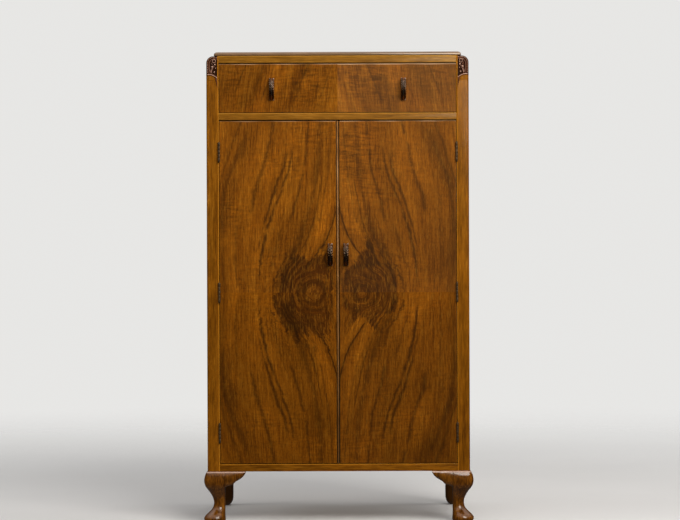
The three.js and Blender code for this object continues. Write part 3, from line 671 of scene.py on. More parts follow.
def eye_fields(spec, across, along, grown):
    """The dark eye, its darkest places, its neighbourhood, and the rings within it."""
    turn = np.arange(0, 181)
    angles, reaches = zip(*spec["reach"])
    reach_table = soften(np.interp(turn, angles, reaches), 2)
    distance = np.hypot(across - EYE_MIDDLE, along)
    angle = np.degrees(np.arctan2(along, across - EYE_MIDDLE))
    share = distance / np.interp(angle, turn, reach_table)
    body = 1 - soft_step(share, 0.76, 1.26)
    outer = soft_step(share, 0.50, 0.82)
    fade = 0.34 + 0.66 * soft_step(across, 4, 50)
    eye = body * fade * (0.80 + 0.20 * outer)
    rim = places(spec["dark"], across, along)
    near = np.exp(-(((share - 1.12) / 0.34) ** 2)) + body * outer * 0.5
    # the rings are round inside, and follow the growth lines outside
    follow = soft_step(share, 0.50, 0.86)
    ring = distance * (1 - follow) + grown * follow
    return eye, rim, near, ring


def leaf_brightness(leaf, lift, across, along, z):
    """Sapwood makes each door leaf paler in a band; the doors are painted darker lower down as
    shade.
    """
    # painted shade: darker towards the floor, where less light falls
    tone = lift * (1 - 0.27 * soft_step(z, 650, 330))
    if leaf.endswith("drawer"):
        return tone
    tone = tone * (1 + 0.10 * np.exp(-(((across - 186) / 46) ** 2))
                   - 0.13 * soft_step(across, 222, 296))
    tone = tone * (1 + places([(112, 172, 44, 66, 0.17)], across, along))
    if leaf.endswith("upper"):
        tone = tone * (1 + places([(150, 270, 80, 90, 0.09)], across, along))
    if leaf != "right_door_lower":
        tone = tone * (1 + 0.13 * soft_step(along, 330, 400) * (1 - soft_step(across, 60, 100)))
    if leaf == "left_door_lower":
        band = np.exp(-(((along - 288) / 56) ** 2))
        tone = tone * (1 + 0.10 * band * (1 - soft_step(across, 215, 285)))
    if leaf == "right_door_lower":
        tone = tone * (1 + places([(112, 180, 42, 60, 0.10)], across, along))
        tone = tone * (1 - 0.30 * soft_step(along, 300, 430) * soft_step(across, 40, 190))
    return tone


def veneer_fields(leaf, x, z):
    """The attributes a leaf carries at each of its points, given in millimetres."""
    spec = LEAVES[leaf]
    across = np.abs(x)
    along = np.abs(z - JOINT_Z * 1000)
    if "reach" in spec:
        grown = growth(across, along)
        eye, rim, near, ring = eye_fields(spec, across, along, grown)
    else:
        # the drawer's leaves come from higher up the stem, where the grain leans
        grown = across + 0.38 * (z - 1150)
        eye = rim = near = np.zeros_like(across)
        ring = np.hypot(across - EYE_MIDDLE, along)
    return {
        "growth": grown,
        "across": across,
        "along": along,
        "eye": np.clip(eye, 0, 1),
        "rim": np.clip(rim, 0, 1),
        "near": np.clip(near, 0, 1),
        "ring": ring,
        "patch": places(FLAME, across, along),
        "calm": np.full_like(across, spec["calm"]),
        "bars": places(spec["bars"], across, along),
        "leaf": np.full_like(across, spec["flitch"]),
        "lift": leaf_brightness(leaf, spec["lift"], across, along, z),
        # painted sheen: how far the leaf is greyed towards a pale colour
        "grey": np.full_like(across, spec["grey"]),
        "strong": np.full_like(across, spec["strong"]),
        # only the top row of points carries the painted highlight of the top edge
        "painted_highlight": spec["painted_highlight"] * (z > z.max() - 0.1) * (0.86 + 0.14 * np.sin(across / 17.0)),
    }


# ------------------------------------------------------------------ the veneer's material

# Dark veins: label, half width, where each starts and ends along the grain, strength.
# Millimetres.
VEINS = [
    (209, 1.5, 40, 215, 0.95), (217, 1.2, 120, 360, 0.80), (208, 1.2, 225, 372, 0.80),
    (245, 1.3, 215, 450, 0.66), (77, 1.7, 78, 238, 1.0), (157, 3.4, 60, 480, 0.56),
    (181, 1.2, 190, 470, 0.66), (168, 1.5, 20, 110, 0.72), (286, 3.0, 150, 420, 0.50),
    (262, 1.2, 20, 190, 0.40), (120, 1.6, 180, 470, 0.42), (302, 1.5, 240, 470, 0.50),
    (138, 1.1, 110, 300, 0.60), (190, 1.0, 60, 170, 0.45), (95, 1.1, 505, 620, 0.55),
    (182, 1.3, 505, 600, 0.50), (258, 1.1, 520, 620, 0.60), (30, 1.2, 505, 590, 0.40),
]
GRAIN_TONES = [
    (0.37, (0.082, 0.0205, 0.0006)),
    (0.450, (0.144, 0.0398, 0.0009)),
    (0.53, (0.198, 0.0585, 0.0015)),
    (0.63, (0.286, 0.0990, 0.0045)),
]
EYE_TONES = [
    (0.41, (0.028, 0.0070, 0.0006)),
    (0.50, (0.059, 0.0158, 0.0009)),
    (0.59, (0.118, 0.0360, 0.0018)),
]
FIGURE_COLORS = dict(
    vein=(0.022, 0.0062, 0.0007),
    flame=(0.060, 0.0175, 0.0015),
    ring=(0.040, 0.0085, 0.0006),
    rim=(0.027, 0.0075, 0.0009),
    tick=(0.036, 0.0100, 0.0008),
    fleck=(0.320, 0.1300, 0.0100),
    pore=(0.028, 0.0080, 0.0010),
    painted_sheen=(0.20, 0.115, 0.060),
    bare=(0.500, 0.310, 0.175),
)


def strong_veins(tree, grown, along):
    """The table's veins, each fading in and out along the grain."""
    total = None
    for label, half, start, end, strength in VEINS:
        distance = abs(grown - label * MM)
        line = distance.rise(half * 6.5 * MM, half * 0.2 * MM) ** 4.0 * strength
        begins = along.rise((start - 16) * MM, (start + 14) * MM)
        line = line * (begins * along.rise((end + 26) * MM, (end - 22) * MM))
        total = line if total is None else tree.math("MAXIMUM", total, line)
    return total


def veneer(name):
    """Figured walnut, drawn from the fields each leaf carries."""
    tree = material_tree(name)
    paint = FIGURE_COLORS
    true_growth = tree.attr("growth") * MM
    across = tree.attr("across") * MM
    along = tree.attr("along") * MM
    near = tree.attr("near")
    leaf = tree.attr("leaf")

    def grain(side, run, shift, scale, detail=2, rough=0.5):
        """Noise in a leaf; shift takes it to a place of its own."""
        depth = leaf + shift if shift else leaf
        return tree.noise((side, run, depth), scale=scale, detail=detail, rough=rough)

    # the growth lines wander slowly, and jag near the eye
    wander = grain(true_growth, along * 0.6, shift=3.1, scale=24, detail=3) - 0.5
    jag = grain(true_growth * 0.5, along, shift=7.7, scale=74, detail=4, rough=0.62) - 0.5
    grown = true_growth + (wander * 0.012 + jag * (0.004 + near * 0.024))

    # broad bands, narrow streaks, and the upright fibre
    broad = grain(grown, along * 0.12, shift=0, scale=26, detail=3)
    streak = grain(grown, along * 0.035, shift=1.3, scale=110, detail=4, rough=0.6)
    lean = across * 0.66 + true_growth * 0.34
    fibre = grain(lean, along * 0.022, shift=2.2, scale=300, detail=3, rough=0.55)
    fine = grain(across, along * 0.03, shift=2.9, scale=760, rough=0.6)
    value = (broad * 0.26 + streak * 0.13) + (fibre * 0.36 + fine * 0.25)
    value = 0.49 + (value - 0.49) * (1.0 - tree.attr("calm"))
    color = tree.ramp(value, GRAIN_TONES)

    # dark veins, broken here and there
    breaks = grain(true_growth * 1.6, along * 0.7, shift=5.5, scale=30, detail=3, rough=0.6)
    vein = strong_veins(tree, grown, along) * breaks.rise(0.28, 0.46)
    # weaker lines everywhere, so that the strong ones don't stand alone, and a crowd of them
    # round the eye
    hair = grain(grown, along * 0.022, shift=6.6, scale=170)
    hair_places = grain(true_growth, along * 0.35, shift=8.8, scale=18)
    hair = hair.rise(0.60, 0.68) * hair_places.rise(0.42, 0.58)
    vein = tree.math("MAXIMUM", vein, hair * 0.36)
    crowd = grain(grown, along * 0.10, shift=12.0, scale=175, detail=3, rough=0.6)
    vein = tree.math("MAXIMUM", vein, (crowd.rise(0.50, 0.62) * near) * 0.50)
    color = tree.mix(vein * (0.86 * tree.attr("strong")), color, paint["vein"])

    # darker flame near the hinge side
    flame = grain(grown, along * 0.09, shift=9.0, scale=90, detail=4, rough=0.62)
    flame = (tree.attr("patch") * flame.rise(0.40, 0.60)) * 0.66
    color = tree.mix(flame, color, paint["flame"])

    # the eye: rings that wander, in a ground that is dark at its ragged outside
    swirl = grain(across, along, shift=4.0, scale=24, detail=4, rough=0.60) - 0.5
    curl_at = grain(across, along, shift=11.0, scale=13) - 0.5
    ring = tree.attr("ring") * MM + (swirl * 0.024 + curl_at * 0.034)
    curl = grain(ring, curl_at * 0.03, shift=6.0, scale=120, detail=3, rough=0.60)
    tooth = grain(lean, along * 0.30, shift=13.0, scale=300, detail=3, rough=0.6)
    eye_color = tree.ramp(curl * 0.74 + tooth * 0.26, EYE_TONES)
    wisp = grain(grown, along * 0.09, shift=15.0, scale=150, detail=3, rough=0.6) - 0.5
    ragged = swirl * 0.50 + (jag * 0.7 + wisp * 1.7)
    eye_mask = (tree.attr("eye") + ragged * 0.8).rise(0.24, 0.62)
    color = tree.mix(eye_mask * 0.93, color, eye_color)
    band = abs(ring - 0.057).rise(0.007, 0.001)
    color = tree.mix((band * eye_mask) * 0.60, color, paint["ring"])
    rim = (tree.attr("rim") + ragged).rise(0.28, 0.95)
    color = tree.mix(rim * 0.80, color, paint["rim"])

    # fiddleback: faint bars across the grain
    bar = grain(across * 0.20, along + across * 0.06, shift=8.0, scale=165, detail=3, rough=0.60)
    where = grain(across, along, shift=2.0, scale=6.5).rise(0.46, 0.64)
    where = (0.20 + where * 0.62) + tree.attr("bars") * 1.16
    bars = 1.0 + ((bar - 0.5) * where) * 1.35
    color = tree.shade(color, tree.xyz(bars, bars, bars))

    # speckle, short dark ticks and pale flecks, and the pores
    speckle = grain(across, along * 0.50, shift=17.0, scale=300, rough=0.65)
    speckle = 1.0 + (speckle - 0.5) * 0.85
    color = tree.shade(color, tree.xyz(speckle, speckle, speckle))
    tick = grain(across, along * 0.10, shift=14.0, scale=390, rough=0.6)
    color = tree.mix(tick.rise(0.53, 0.70) * 0.42, color, paint["tick"])
    color = tree.mix(tick.rise(0.46, 0.32) * 0.26, color, paint["fleck"])
    pore = grain(across, along * 0.022, shift=0, scale=1300, detail=1, rough=0.4)
    pore = pore.rise(0.60, 0.70)
    color = tree.mix(pore * 0.30, color, paint["pore"])

    # slow changes of brightness
    x, y, z = tree.split(tree.place())
    cloud = tree.noise((x, y, z), scale=4.0, detail=2)
    drift = grain(grown, along * 0.38, shift=16.0, scale=13, detail=3, rough=0.55)
    strip = grain(grown, along * 0.07, shift=18.0, scale=21)
    color = tree.shade(color, tree.ramp(strip, [(0.36, 0.82), (0.64, 1.17)]))
    tone = tree.ramp(cloud, [(0.3, 0.91), (0.7, 1.09)])
    tone = (tone * tree.ramp(drift, [(0.34, 0.80), (0.66, 1.21)])) * tree.attr("lift")
    color = tree.shade(color, tone)
    # painted sheen: the leaf greyed towards a pale colour
    color = tree.mix(tree.attr("grey"), color, paint["painted_sheen"])
    # painted highlight along the top edges of the drawer and door leaves
    color = tree.mix(tree.attr("painted_highlight").rise(0.36, 0.80), color, paint["bare"])
    return tree.finish(
        color, rough=0.30 + fibre * 0.12, coat=0.07, coat_rough=0.12,
        bump=fibre * 0.3 - pore, bump_size=0.00008, specular=0.14, tint=VARNISH,
    )


# ------------------------------------------------------------------ veneer leaves

VENEER_SKIN = 0.0002  # a leaf reaches this far in front of the panel's face and behind it
VENEER_EDGE = 0.0004  # and stops this far short of the panel's edges
VENEER_STEP = 0.004


def grid_faces(nx, nz):
    corners = [j * nx + i for j in range(nz - 1) for i in range(nx - 1)]
    return [(a, a + 1, a + nx + 1, a + nx) for a in corners]


def grid_border(nx, nz):
    """The grid's outermost points, in order round it."""
    return (
        list(range(nx))
        + [nx * j + nx - 1 for j in range(1, nz)]
        + [nx * (nz - 1) + i for i in range(nx - 2, -1, -1)]
        + [nx * j for j in range(nz - 2, 0, -1)]
    )


def sheet(name, x0, x1, z0, z1, leaf):
    """A thin closed sheet facing -Y whose front is a grid that carries the leaf's fields."""
    nx = max(2, int(round((x1 - x0) / VENEER_STEP)) + 1)
    nz = max(2, int(round((z1 - z0) / VENEER_STEP)) + 1)
    X, Z = np.meshgrid(np.linspace(x0, x1, nx), np.linspace(z0, z1, nz))
    front = np.stack([X, np.full_like(X, FRONT - VENEER_SKIN), Z], -1).reshape(-1, 3)
    border = grid_border(nx, nz)
    rear = front[border].copy()
    rear[:, 1] = FRONT + VENEER_SKIN
    faces = grid_faces(nx, nz)
    base = nx * nz
    count = len(border)
    for k in range(count):
        m = (k + 1) % count
        faces.append((border[m], border[k], base + k, base + m))
    faces.append(tuple(base + k for k in reversed(range(count))))
    mesh = bpy.data.meshes.new(name)
    mesh.from_pydata(np.concatenate([front, rear]).tolist(), [], faces)
    for key, field in veneer_fields(leaf, X * 1000, Z * 1000).items():
        values = field.reshape(-1)
        values = np.concatenate([values, values[border]]).astype(np.float32)
        mesh.attributes.new(key, "FLOAT", "POINT").data.foreach_set("value", values)
    mesh.update()
    return add_object(name, mesh)


figured_walnut = veneer("figured_walnut")
for leaf, spec in LEAVES.items():
    low, high = PANELS[spec["body"]]
    x0, x1 = low.x + VENEER_EDGE, high.x - VENEER_EDGE
    z0, z1 = low.z + VENEER_EDGE, high.z - VENEER_EDGE
    if leaf.endswith("lower"):
        z1 = JOINT_Z
    elif leaf.endswith("upper"):
        z0 = JOINT_Z
    elif leaf == "left_drawer":
        x1 = 0.0
    else:
        x0 = 0.0
    piece = sheet(leaf + "_veneer", x0, x1, z0, z1, leaf)
    piece.data.materials.append(figured_walnut)
    fit(piece, spec["body"])


# ------------------------------------------------------------------ surfaces from rows of points

def smooth_solid(mesh, sharp_angle):
    """Turn a closed mesh's faces outwards and shade it smooth between its sharp edges."""
    bm = bmesh.new()
    bm.from_mesh(mesh)
    bmesh.ops.recalc_face_normals(bm, faces=bm.faces)
    if bm.calc_volume(signed=True) < 0:
        bmesh.ops.reverse_faces(bm, faces=bm.faces)
    bm.to_mesh(mesh)
    bm.free()
    mesh.polygons.foreach_set("use_smooth", [True] * len(mesh.polygons))
    mesh.set_sharp_from_angle(angle=math.radians(sharp_angle))


def skin(name, rings, material):
    """A closed skin over rings of equally many points."""
    n = len(rings[0])
    verts = [tuple(point) for ring in rings for point in ring]
    faces = []
    for i in range(len(rings) - 1):
        for j in range(n):
            k = (j + 1) % n
            faces.append((i * n + j, i * n + k, (i + 1) * n + k, (i + 1) * n + j))
    faces.append(tuple(reversed(range(n))))
    faces.append(tuple(range((len(rings) - 1) * n, len(rings) * n)))
    mesh = bpy.data.meshes.new(name)
    mesh.from_pydata(verts, [], faces)
    smooth_solid(mesh, sharp_angle=42)
    mesh.materials.append(material)
    mesh.update()
    return add_object(name, mesh)


def catmull(rows, count):
    """Rows of numbers resampled along a smooth curve through them, evenly by row."""
    rows = np.array(rows, float)
    n = len(rows)
    padded = np.vstack([2 * rows[0] - rows[1], rows, 2 * rows[-1] - rows[-2]])
    out = []
    for t in np.linspace(0, n - 1, count):
        i = min(int(t), n - 2)
        f = t - i
        p0, p1, p2, p3 = padded[i : i + 4]
        out.append(0.5 * (
            2 * p1
            + (p2 - p0) * f
            + (2 * p0 - 5 * p1 + 4 * p2 - p3) * f * f
            + (3 * p1 - p0 - 3 * p2 + p3) * f ** 3
        ))
    return np.array(out)


def arc(x, y, radius, start, end, count):
    """Points round a centre, from one angle to another in degrees."""
    angles = [math.radians(start + (end - start) * i / count) for i in range(count + 1)]
    return [(x + radius * math.cos(a), y + radius * math.sin(a)) for a in angles]


# ------------------------------------------------------------------ front legs and knee blocks

# Rows of a front leg from the top down: height, how far the outer faces stand proud of the case,
# how far in the inner faces are, and the radii of the outer corner, the two side corners and the
# inner corner. Millimetres.
CABRIOLE = [
    (133.7, -0.6, 45, 8, 1.5, 1.5),
    (132.9, 1.6, 45, 8.5, 1.5, 1.5),
    (131.2, 3.3, 45, 9, 1.5, 1.5),
    (128, 5.1, 45, 10, 1.5, 1.5),
    (123, 7.0, 45, 12, 1.6, 1.5),
    (117, 8.4, 45, 14, 2, 1.5),
    (109, 9.3, 45, 16, 3, 2),
    (98, 7.4, 45, 18, 5, 3),
    (90, 3.4, 45, 18, 8, 6),
    (82, -2.4, 45, 17, 11, 10),
    (72, -8.6, 45, 16, 14, 14),
    (62, -13, 45, 15.8, 15.8, 15.8),
    (52, -15, 45, 15, 15, 15),
    (44, -14.4, 45, 15.3, 15.3, 15.3),
    (37, -12, 45, 16.5, 16.5, 16.5),
    (31, -7.6, 45, 18.7, 18.7, 18.7),
    (25, -1, 45, 22, 22, 22),
    (19, 5.4, 45.5, 25.4, 25.4, 25.4),
    (14, 9.0, 46, 27.4, 27.4, 27.4),
    (10, 10.4, 46.4, 28.4, 28.4, 28.4),
    (6.6, 9.7, 46.2, 27.9, 27.9, 27.9),
    (5.4, 8.4, 45.2, 26.8, 26.8, 26.8),
    (4.4, 8.2, 45.0, 26.6, 26.6, 26.6),
    (1.4, 7.6, 44.2, 25.9, 25.9, 25.9),
    (0, 6.2, 42.8, 24.5, 24.5, 24.5),
]

# Knee blocks: distance in from the corner, height of the underside, how far the face bulges
# outwards. Millimetres.
KNEE_BLOCK = [
    (45.3, 92.5, 8.6), (52, 95.5, 8.0), (60, 97.5, 7.2), (66.5, 100.5, 6.4), (72, 106, 5.6),
    (80, 111.3, 4.8), (87, 115.5, 4.0), (94, 122, 3.2), (99, 129.5, 2.4),
]

# Profile of a knee block's face from the top down: share of the bulge, share of the height.
KNEE_FACE = [
    (0.22, 0.02), (0.42, 0.07), (0.66, 0.16), (0.87, 0.28), (1.0, 0.45), (0.86, 0.70),
    (0.45, 0.90),
]


def at_corner(sign, from_side, from_front, z):
    """A point given in millimetres in from the case's side and front."""
    return sign * (HALF_WIDTH - from_side * MM), FRONT + from_front * MM, z * MM


def leg_ring(sign, row):
    z, proud, inner, *radii = row
    limit = (proud + inner) / 2 - 0.02
    outer_radius, side_radius, inner_radius = [max(0.6, min(r, limit)) for r in radii]
    corners = [
        (-proud, -proud, outer_radius, 180),
        (inner, -proud, side_radius, 270),
        (inner, inner, inner_radius, 0),
        (-proud, inner, side_radius, 90),
    ]
    ring = []
    for a, b, radius, start in corners:
        centre_a = a + radius if a == -proud else a - radius
        centre_b = b + radius if b == -proud else b - radius
        for point in arc(centre_a, centre_b, radius, start, start + 89, 16):
            ring.append(at_corner(sign, *point, max(z, 0.0)))
    return ring


def knee_rings(sign, on_side):
    rings = []
    top = LEG_TOP * 1000
    for inwards, low, bulge in catmull(KNEE_BLOCK, 60):
        height = max(top - low, 1.5)
        face = [(0.9, top)]
        face += [(-bulge * out, top - down * height) for out, down in KNEE_FACE]
        face += [(0.4, top - 0.99 * height), (3.5, low), (12, low + 0.2), (23, low + 0.6)]
        section = [tuple(point) for point in catmull(face, 34)]
        section += [(26, low + min(3, 0.3 * height)), (26, top)]
        rings.append([
            at_corner(sign, depth, inwards, z) if on_side else at_corner(sign, inwards, depth, z)
            for depth, z in section
        ])
    return rings


for side, sign in SIDES:
    rings = [leg_ring(sign, row) for row in catmull(CABRIOLE, 150)]
    piece = skin("front_" + side + "_cabriole_leg", rings, leg_wood)
    fit(piece, "case", replaces="front_" + side + "_leg")

for side, sign in SIDES:
    for block, on_side in (("front_" + side, False), (side + "_side", True)):
        block += "_knee_block"
        piece = skin("shaped_" + block, knee_rings(sign, on_side), leg_wood)
        fit(piece, "case", replaces=block)


# ------------------------------------------------------------------ the moulded top board

# Height over the underside and distance in from the widest line, in millimetres.
NOSE = [
    (0.0, 1.6), (0.5, 0.8), (1.3, 0.2), (2.2, 0.0), (3.2, 0.10), (4.2, 0.32), (5.4, 0.74),
    (6.4, 1.25), (7.4, 2.05), (8.5, 3.3), (9.4, 4.9), (9.8, 6.1), (10.0, 7.6),
]
TOP_CORNER = 0.0042  # radius of the front corners in plan


def moulded_top():
    low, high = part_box("top_board")
    r = TOP_CORNER
    rings = []
    for height, inset in catmull(NOSE, 40):
        z = low.z + min(max(height, 0), (high.z - low.z) / MM) * MM
        x = high.x - inset * MM
        y = low.y + inset * MM
        corners = arc(x - r, y + r, r, 0, -90, 8) + arc(-x + r, y + r, r, -90, -180, 8)
        plan = [(x, high.y)] + corners + [(-x, high.y)]
        rings.append([(*point, z) for point in plan])
    piece = skin("moulded_top_board", rings, top_wood)
    piece.data.materials.append(top_edge_sheen_wood)
    # the nosing's faces take the paler walnut that is painted as its sheen
    for polygon in piece.data.polygons:
        if abs(polygon.normal.z) < 0.93 and polygon.normal.y < 0.9:
            polygon.material_index = 1
    fit(piece, "case", replaces="top_board")


moulded_top()


# ------------------------------------------------------------------ carved corners, millimetres

CARVING_INNER, CARVING_OUTER = 314.6, 343.0  # from the case's middle
CARVING_BOTTOM, CARVING_TOP = 1156.0, 1219.7  # from the floor
SHOULDER = 18.0  # radius of the outer top corner
SHOULDER_X, SHOULDER_Z = CARVING_OUTER - SHOULDER, CARVING_TOP - SHOULDER
GROUND = -1.4  # relief of the ground
ARRIS = 7.0  # radius by which the outer edge falls away

# Leaf curls: phase, swing, middle x, width, height.
CURLS = [(0.0, 4.6, 325.0, 1.8, 3.1), (0.8, 3.6, 330.8, 1.4, 2.6)]
# Berries: x, z, radius.
BERRIES = [
    (322.4, 1206.2, 1.6), (320.0, 1196.6, 2.5), (326.8, 1191.0, 2.9), (318.6, 1187.6, 2.0),
    (321.6, 1177.4, 2.4),
]
# The tail: z, x, half width, height, from the top down.
TAIL = [
    (1164.0, 318.0, 2.6, 2.4), (1158.0, 316.9, 2.5, 2.3), (1152.0, 315.9, 2.0, 1.8),
    (1146.0, 314.9, 1.4, 1.3), (1140.0, 314.0, 0.8, 0.8), (1135.0, 313.3, 0.3, 0.3),
]


def lip(x):
    """Height of the lip at the carving's foot: highest at x = 336, and running down to the tail
    on the inner side."""
    return 1171.3 - np.where(x < 336, 0.019, 0.045) * (x - 336) ** 2


def ridge(distance, width, height):
    return height * np.exp(-((distance / width) ** 2))


def carving_height(x, z):
    """Relief of a carving, and how far its outer arris falls away."""
    dx, dz = x - SHOULDER_X, z - SHOULDER_Z
    corner = (dx > 0) & (dz > 0)
    straight = np.minimum(CARVING_OUTER - x, CARVING_TOP - z)
    edge = np.maximum(np.where(corner, SHOULDER - np.hypot(dx, dz), straight), 0)
    past_corner = np.where(dz > 0, SHOULDER * math.pi / 2 - dx, dz)
    run = np.where(corner, SHOULDER * np.arctan2(dz, dx), past_corner)
    height = np.full_like(x, GROUND)
    arch = lip(x)
    live = soft_step(z - arch, 0.5, 5.0)

    # two leaf ribs follow the shoulder
    notch = 0.5 + 0.5 * np.cos(2 * math.pi * run / 6.2)
    outer_rib = live * ridge(edge - 3.6, 2.1, 3.2) * (0.80 + 0.20 * notch)
    height = np.maximum(height, GROUND + outer_rib)
    inner_rib = ridge(edge - 8.6 - 0.8 * np.sin(run / 7.0), 1.6, 2.5)
    height = np.maximum(height, GROUND + live * soft_step(z, 1168, 1180) * inner_rib)
    # a leaf that curls inwards and downwards
    for phase, swing, middle_x, width, tall in CURLS:
        curl = middle_x + swing * np.sin((z - 1163) / 50 * 2 * math.pi + phase)
        leaf_rib = ridge(x - curl, width, tall) * live * (1 - soft_step(z, 1198, 1206))
        height = np.maximum(height, GROUND + leaf_rib)
    # the scroll's head: a ring with an open middle
    head = np.abs(np.hypot(x - 322.4, (z - 1206.0) * 0.86) - 4.0)
    height = np.maximum(height, GROUND + ridge(head, 1.25, 3.2))
    for berry_x, berry_z, radius in BERRIES:
        square = (x - berry_x) ** 2 + (z - berry_z) ** 2
        dome = np.sqrt(np.maximum(radius * radius - square, 0)) * 1.15
        height = np.where(square < (radius + 0.9) ** 2, np.minimum(height, -1.2), height)
        height = np.maximum(height, np.where(square < radius * radius, -0.9 + dome, -9))
    # a crescent lip closes the foot of the carving
    height = np.maximum(height, GROUND + ridge(z - arch, 1.9, 3.4))
    below = soft_step(arch - z, 1.5, 5.0)
    height = height * (1 - below) + below * (-1.2)

    rounding = ARRIS - np.sqrt(np.maximum(ARRIS * ARRIS - (ARRIS - edge) ** 2, 0))
    return height, np.where(edge < ARRIS, rounding, 0)


def carved_block(side, sign):
    nz, nx = 190, 90
    levels = np.linspace(CARVING_BOTTOM, CARVING_TOP, nz)
    rounded = np.sqrt(np.maximum(SHOULDER ** 2 - (levels - SHOULDER_Z) ** 2, 0))
    outline = np.where(levels > SHOULDER_Z, SHOULDER_X + rounded, CARVING_OUTER)
    share = np.linspace(0, 1, nx)
    X = CARVING_INNER + (outline[:, None] - CARVING_INNER) * share[None, :]
    Z = np.repeat(levels[:, None], nx, 1)
    height, fall = carving_height(X, Z)
    relief = np.clip((height - GROUND) / 3.6, 0, 1) * (1 - 0.5 * np.clip(fall / 3.0, 0, 1))
    Y = FRONT * 1000 - 1.2 - height + fall
    Y[:, 0] += 0.8
    back = FRONT * 1000 + 11.9
    Y = np.minimum(Y, back - 0.5)
    layers = [np.stack([sign * X, y, Z], -1).reshape(-1, 3) for y in (Y, np.full_like(Y, back))]
    base = nx * nz
    faces = []
    for quad in grid_faces(nx, nz):
        faces += [quad, tuple(base + i for i in reversed(quad))]
    border = grid_border(nx, nz)
    for a, b in zip(border, border[1:] + border[:1]):
        faces.append((b, a, base + a, base + b))

    name = side + "_carved_corner"
    mesh = bpy.data.meshes.new(name)
    mesh.from_pydata((np.concatenate(layers) * MM).tolist(), [], faces)
    mark = mesh.attributes.new("relief", "FLOAT", "POINT")
    mark.data.foreach_set("value", np.tile(relief.reshape(-1), 2).astype(np.float32))
    smooth_solid(mesh, sharp_angle=60)
    mesh.materials.append(carved_walnut)
    mesh.materials.append(stile_wood)
    # below the lip the block looks like the stile
    for polygon in mesh.polygons:
        centre = polygon.center / MM
        if centre.z < lip(abs(centre.x)) - 1.9:
            polygon.material_index = 1
    fit(add_object(name, mesh), "case", replaces=side + "_corner_carving")


def carving_tail(side, sign):
    """The tail runs on down the stile's inner edge."""
    turns = [2 * math.pi * k / 14 for k in range(14)]
    rings = []
    for z, x, width, height in catmull(TAIL, 34):
        rings.append([
            (sign * (x + width * math.cos(turn)) * MM,
             FRONT - (0.2 + height * math.sin(turn)) * MM, z * MM)
            for turn in turns
        ])
    tail = skin(side + "_carving_tail", rings, carved_walnut)
    mark = tail.data.attributes.new("relief", "FLOAT", "POINT")
    mark.data.foreach_set("value", [0.5] * len(tail.data.vertices))
    fit(tail, "case")


for side, sign in SIDES:
    carved_block(side, sign)
    carving_tail(side, sign)


# ------------------------------------------------------------------ handles, millimetres

# Bow profiles from the middle to the end: distance out of the face, height.
BOW_OUT = [(23.65, 0), (23.3, 5), (22.2, 10), (19.7, 17), (15.8, 23), (10.3, 27.6), (4.5, 30),
           (0.0, 30)]
BOW_IN = [(17.8, 0), (17.5, 4), (16.2, 8), (13.6, 12.6), (10, 16.6), (6, 19), (2.6, 19.8),
          (0.0, 20)]
BOW_LEAF = 7.6  # length of one carved leaf along the bow
FOOT_HEIGHT = 23.6  # of each foot's middle above or below the handle's


def whole_bow(half):
    points = catmull(half, 70)
    return np.vstack([points[::-1], (points * [1, -1])[1:]])


def bow_section(turn, edge, grip, run):
    """One point of the bow's section: x, and its share of the way from inner to outer curve."""
    cosine, sine = math.cos(turn), math.sin(turn)
    # superellipse
    x = edge * math.copysign(abs(cosine) ** 0.75, cosine)
    depth = 0.5 + 0.5 * math.copysign(abs(sine) ** 0.8, sine)
    side = abs(x)
    chevron = 0.5 + 0.5 * math.cos(2 * math.pi * (run + 1.35 * (side - 2.6)) / BOW_LEAF + math.pi)
    rib = 1.05 * math.exp(-((x / 1.25) ** 2))
    groove = -0.85 * math.exp(-(((side - 2.3) / 0.7) ** 2))
    flank = -1.25 * (1 - chevron) ** 2 * soft_step(side, 2.2, 3.4)
    roll = -0.9 * soft_step(side, 3.0, 7.0)
    carving = (rib + groove + flank + roll) * max(0.0, sine) * grip
    return x, depth + carving / 7.0


def handle_rings():
    outer, inner = whole_bow(BOW_OUT), whole_bow(BOW_IN)
    lengths = np.concatenate([[0], np.cumsum(np.hypot(*np.diff(outer, axis=0).T))])
    rings = []
    for out_point, in_point, run in zip(outer, inner, lengths):
        from_end = min(run, lengths[-1] - run)
        width = 5.8 + 1.6 * soft_step(from_end, 4.0, 16.0)
        grip = soft_step(from_end, 9.0, 14.0)
        leaf = 0.5 + 0.5 * math.cos(2 * math.pi * run / BOW_LEAF)
        edge = width * (1 - 0.13 * grip * (1 - leaf))
        ring = []
        for k in range(44):
            x, share = bow_section(2 * math.pi * k / 44, edge, grip, run)
            out, height = in_point + (out_point - in_point) * share
            ring.append((x * MM, -(out + 0.3) * MM, height * 0.965 * MM))
        rings.append(ring)
    return rings


def handle_foot(x, z):
    """A small plate with rounded corners and a softened face, standing on the front."""
    half_wide, half_tall, radius = 6.6, 5.6, 1.2
    back, face = FRONT - 0.1 * MM, FRONT - 2.8 * MM
    corners = ((1, 1, 0), (-1, 1, 90), (-1, -1, 180), (1, -1, 270))
    rings = []
    for shrink, y in ((0.0, back), (0.0, face + 0.6 * MM), (0.25, face + 0.2 * MM), (0.7, face)):
        ring = []
        for right, up, start in corners:
            centre = right * (half_wide - radius), up * (half_tall - radius)
            for across, height in arc(*centre, radius - shrink, start, start + 90, 5):
                ring.append((x + across * MM, y, z + height * MM))
        rings.append(ring)
    return skin("foot", rings, bronze_foot)


def handle(name, body, frame_name):
    x, _, z = middle(frame_name)
    bow = skin(name, handle_rings(), bronze)
    bow.location = (x, FRONT, z)
    pieces = [bow] + [handle_foot(x, z + up * FOOT_HEIGHT * MM) for up in (1, -1)]
    bpy.context.view_layer.update()
    with bpy.context.temp_override(
        active_object=bow, selected_editable_objects=pieces, selected_objects=pieces
    ):
        bpy.ops.object.join()
    fit(bow, body, replaces=frame_name)


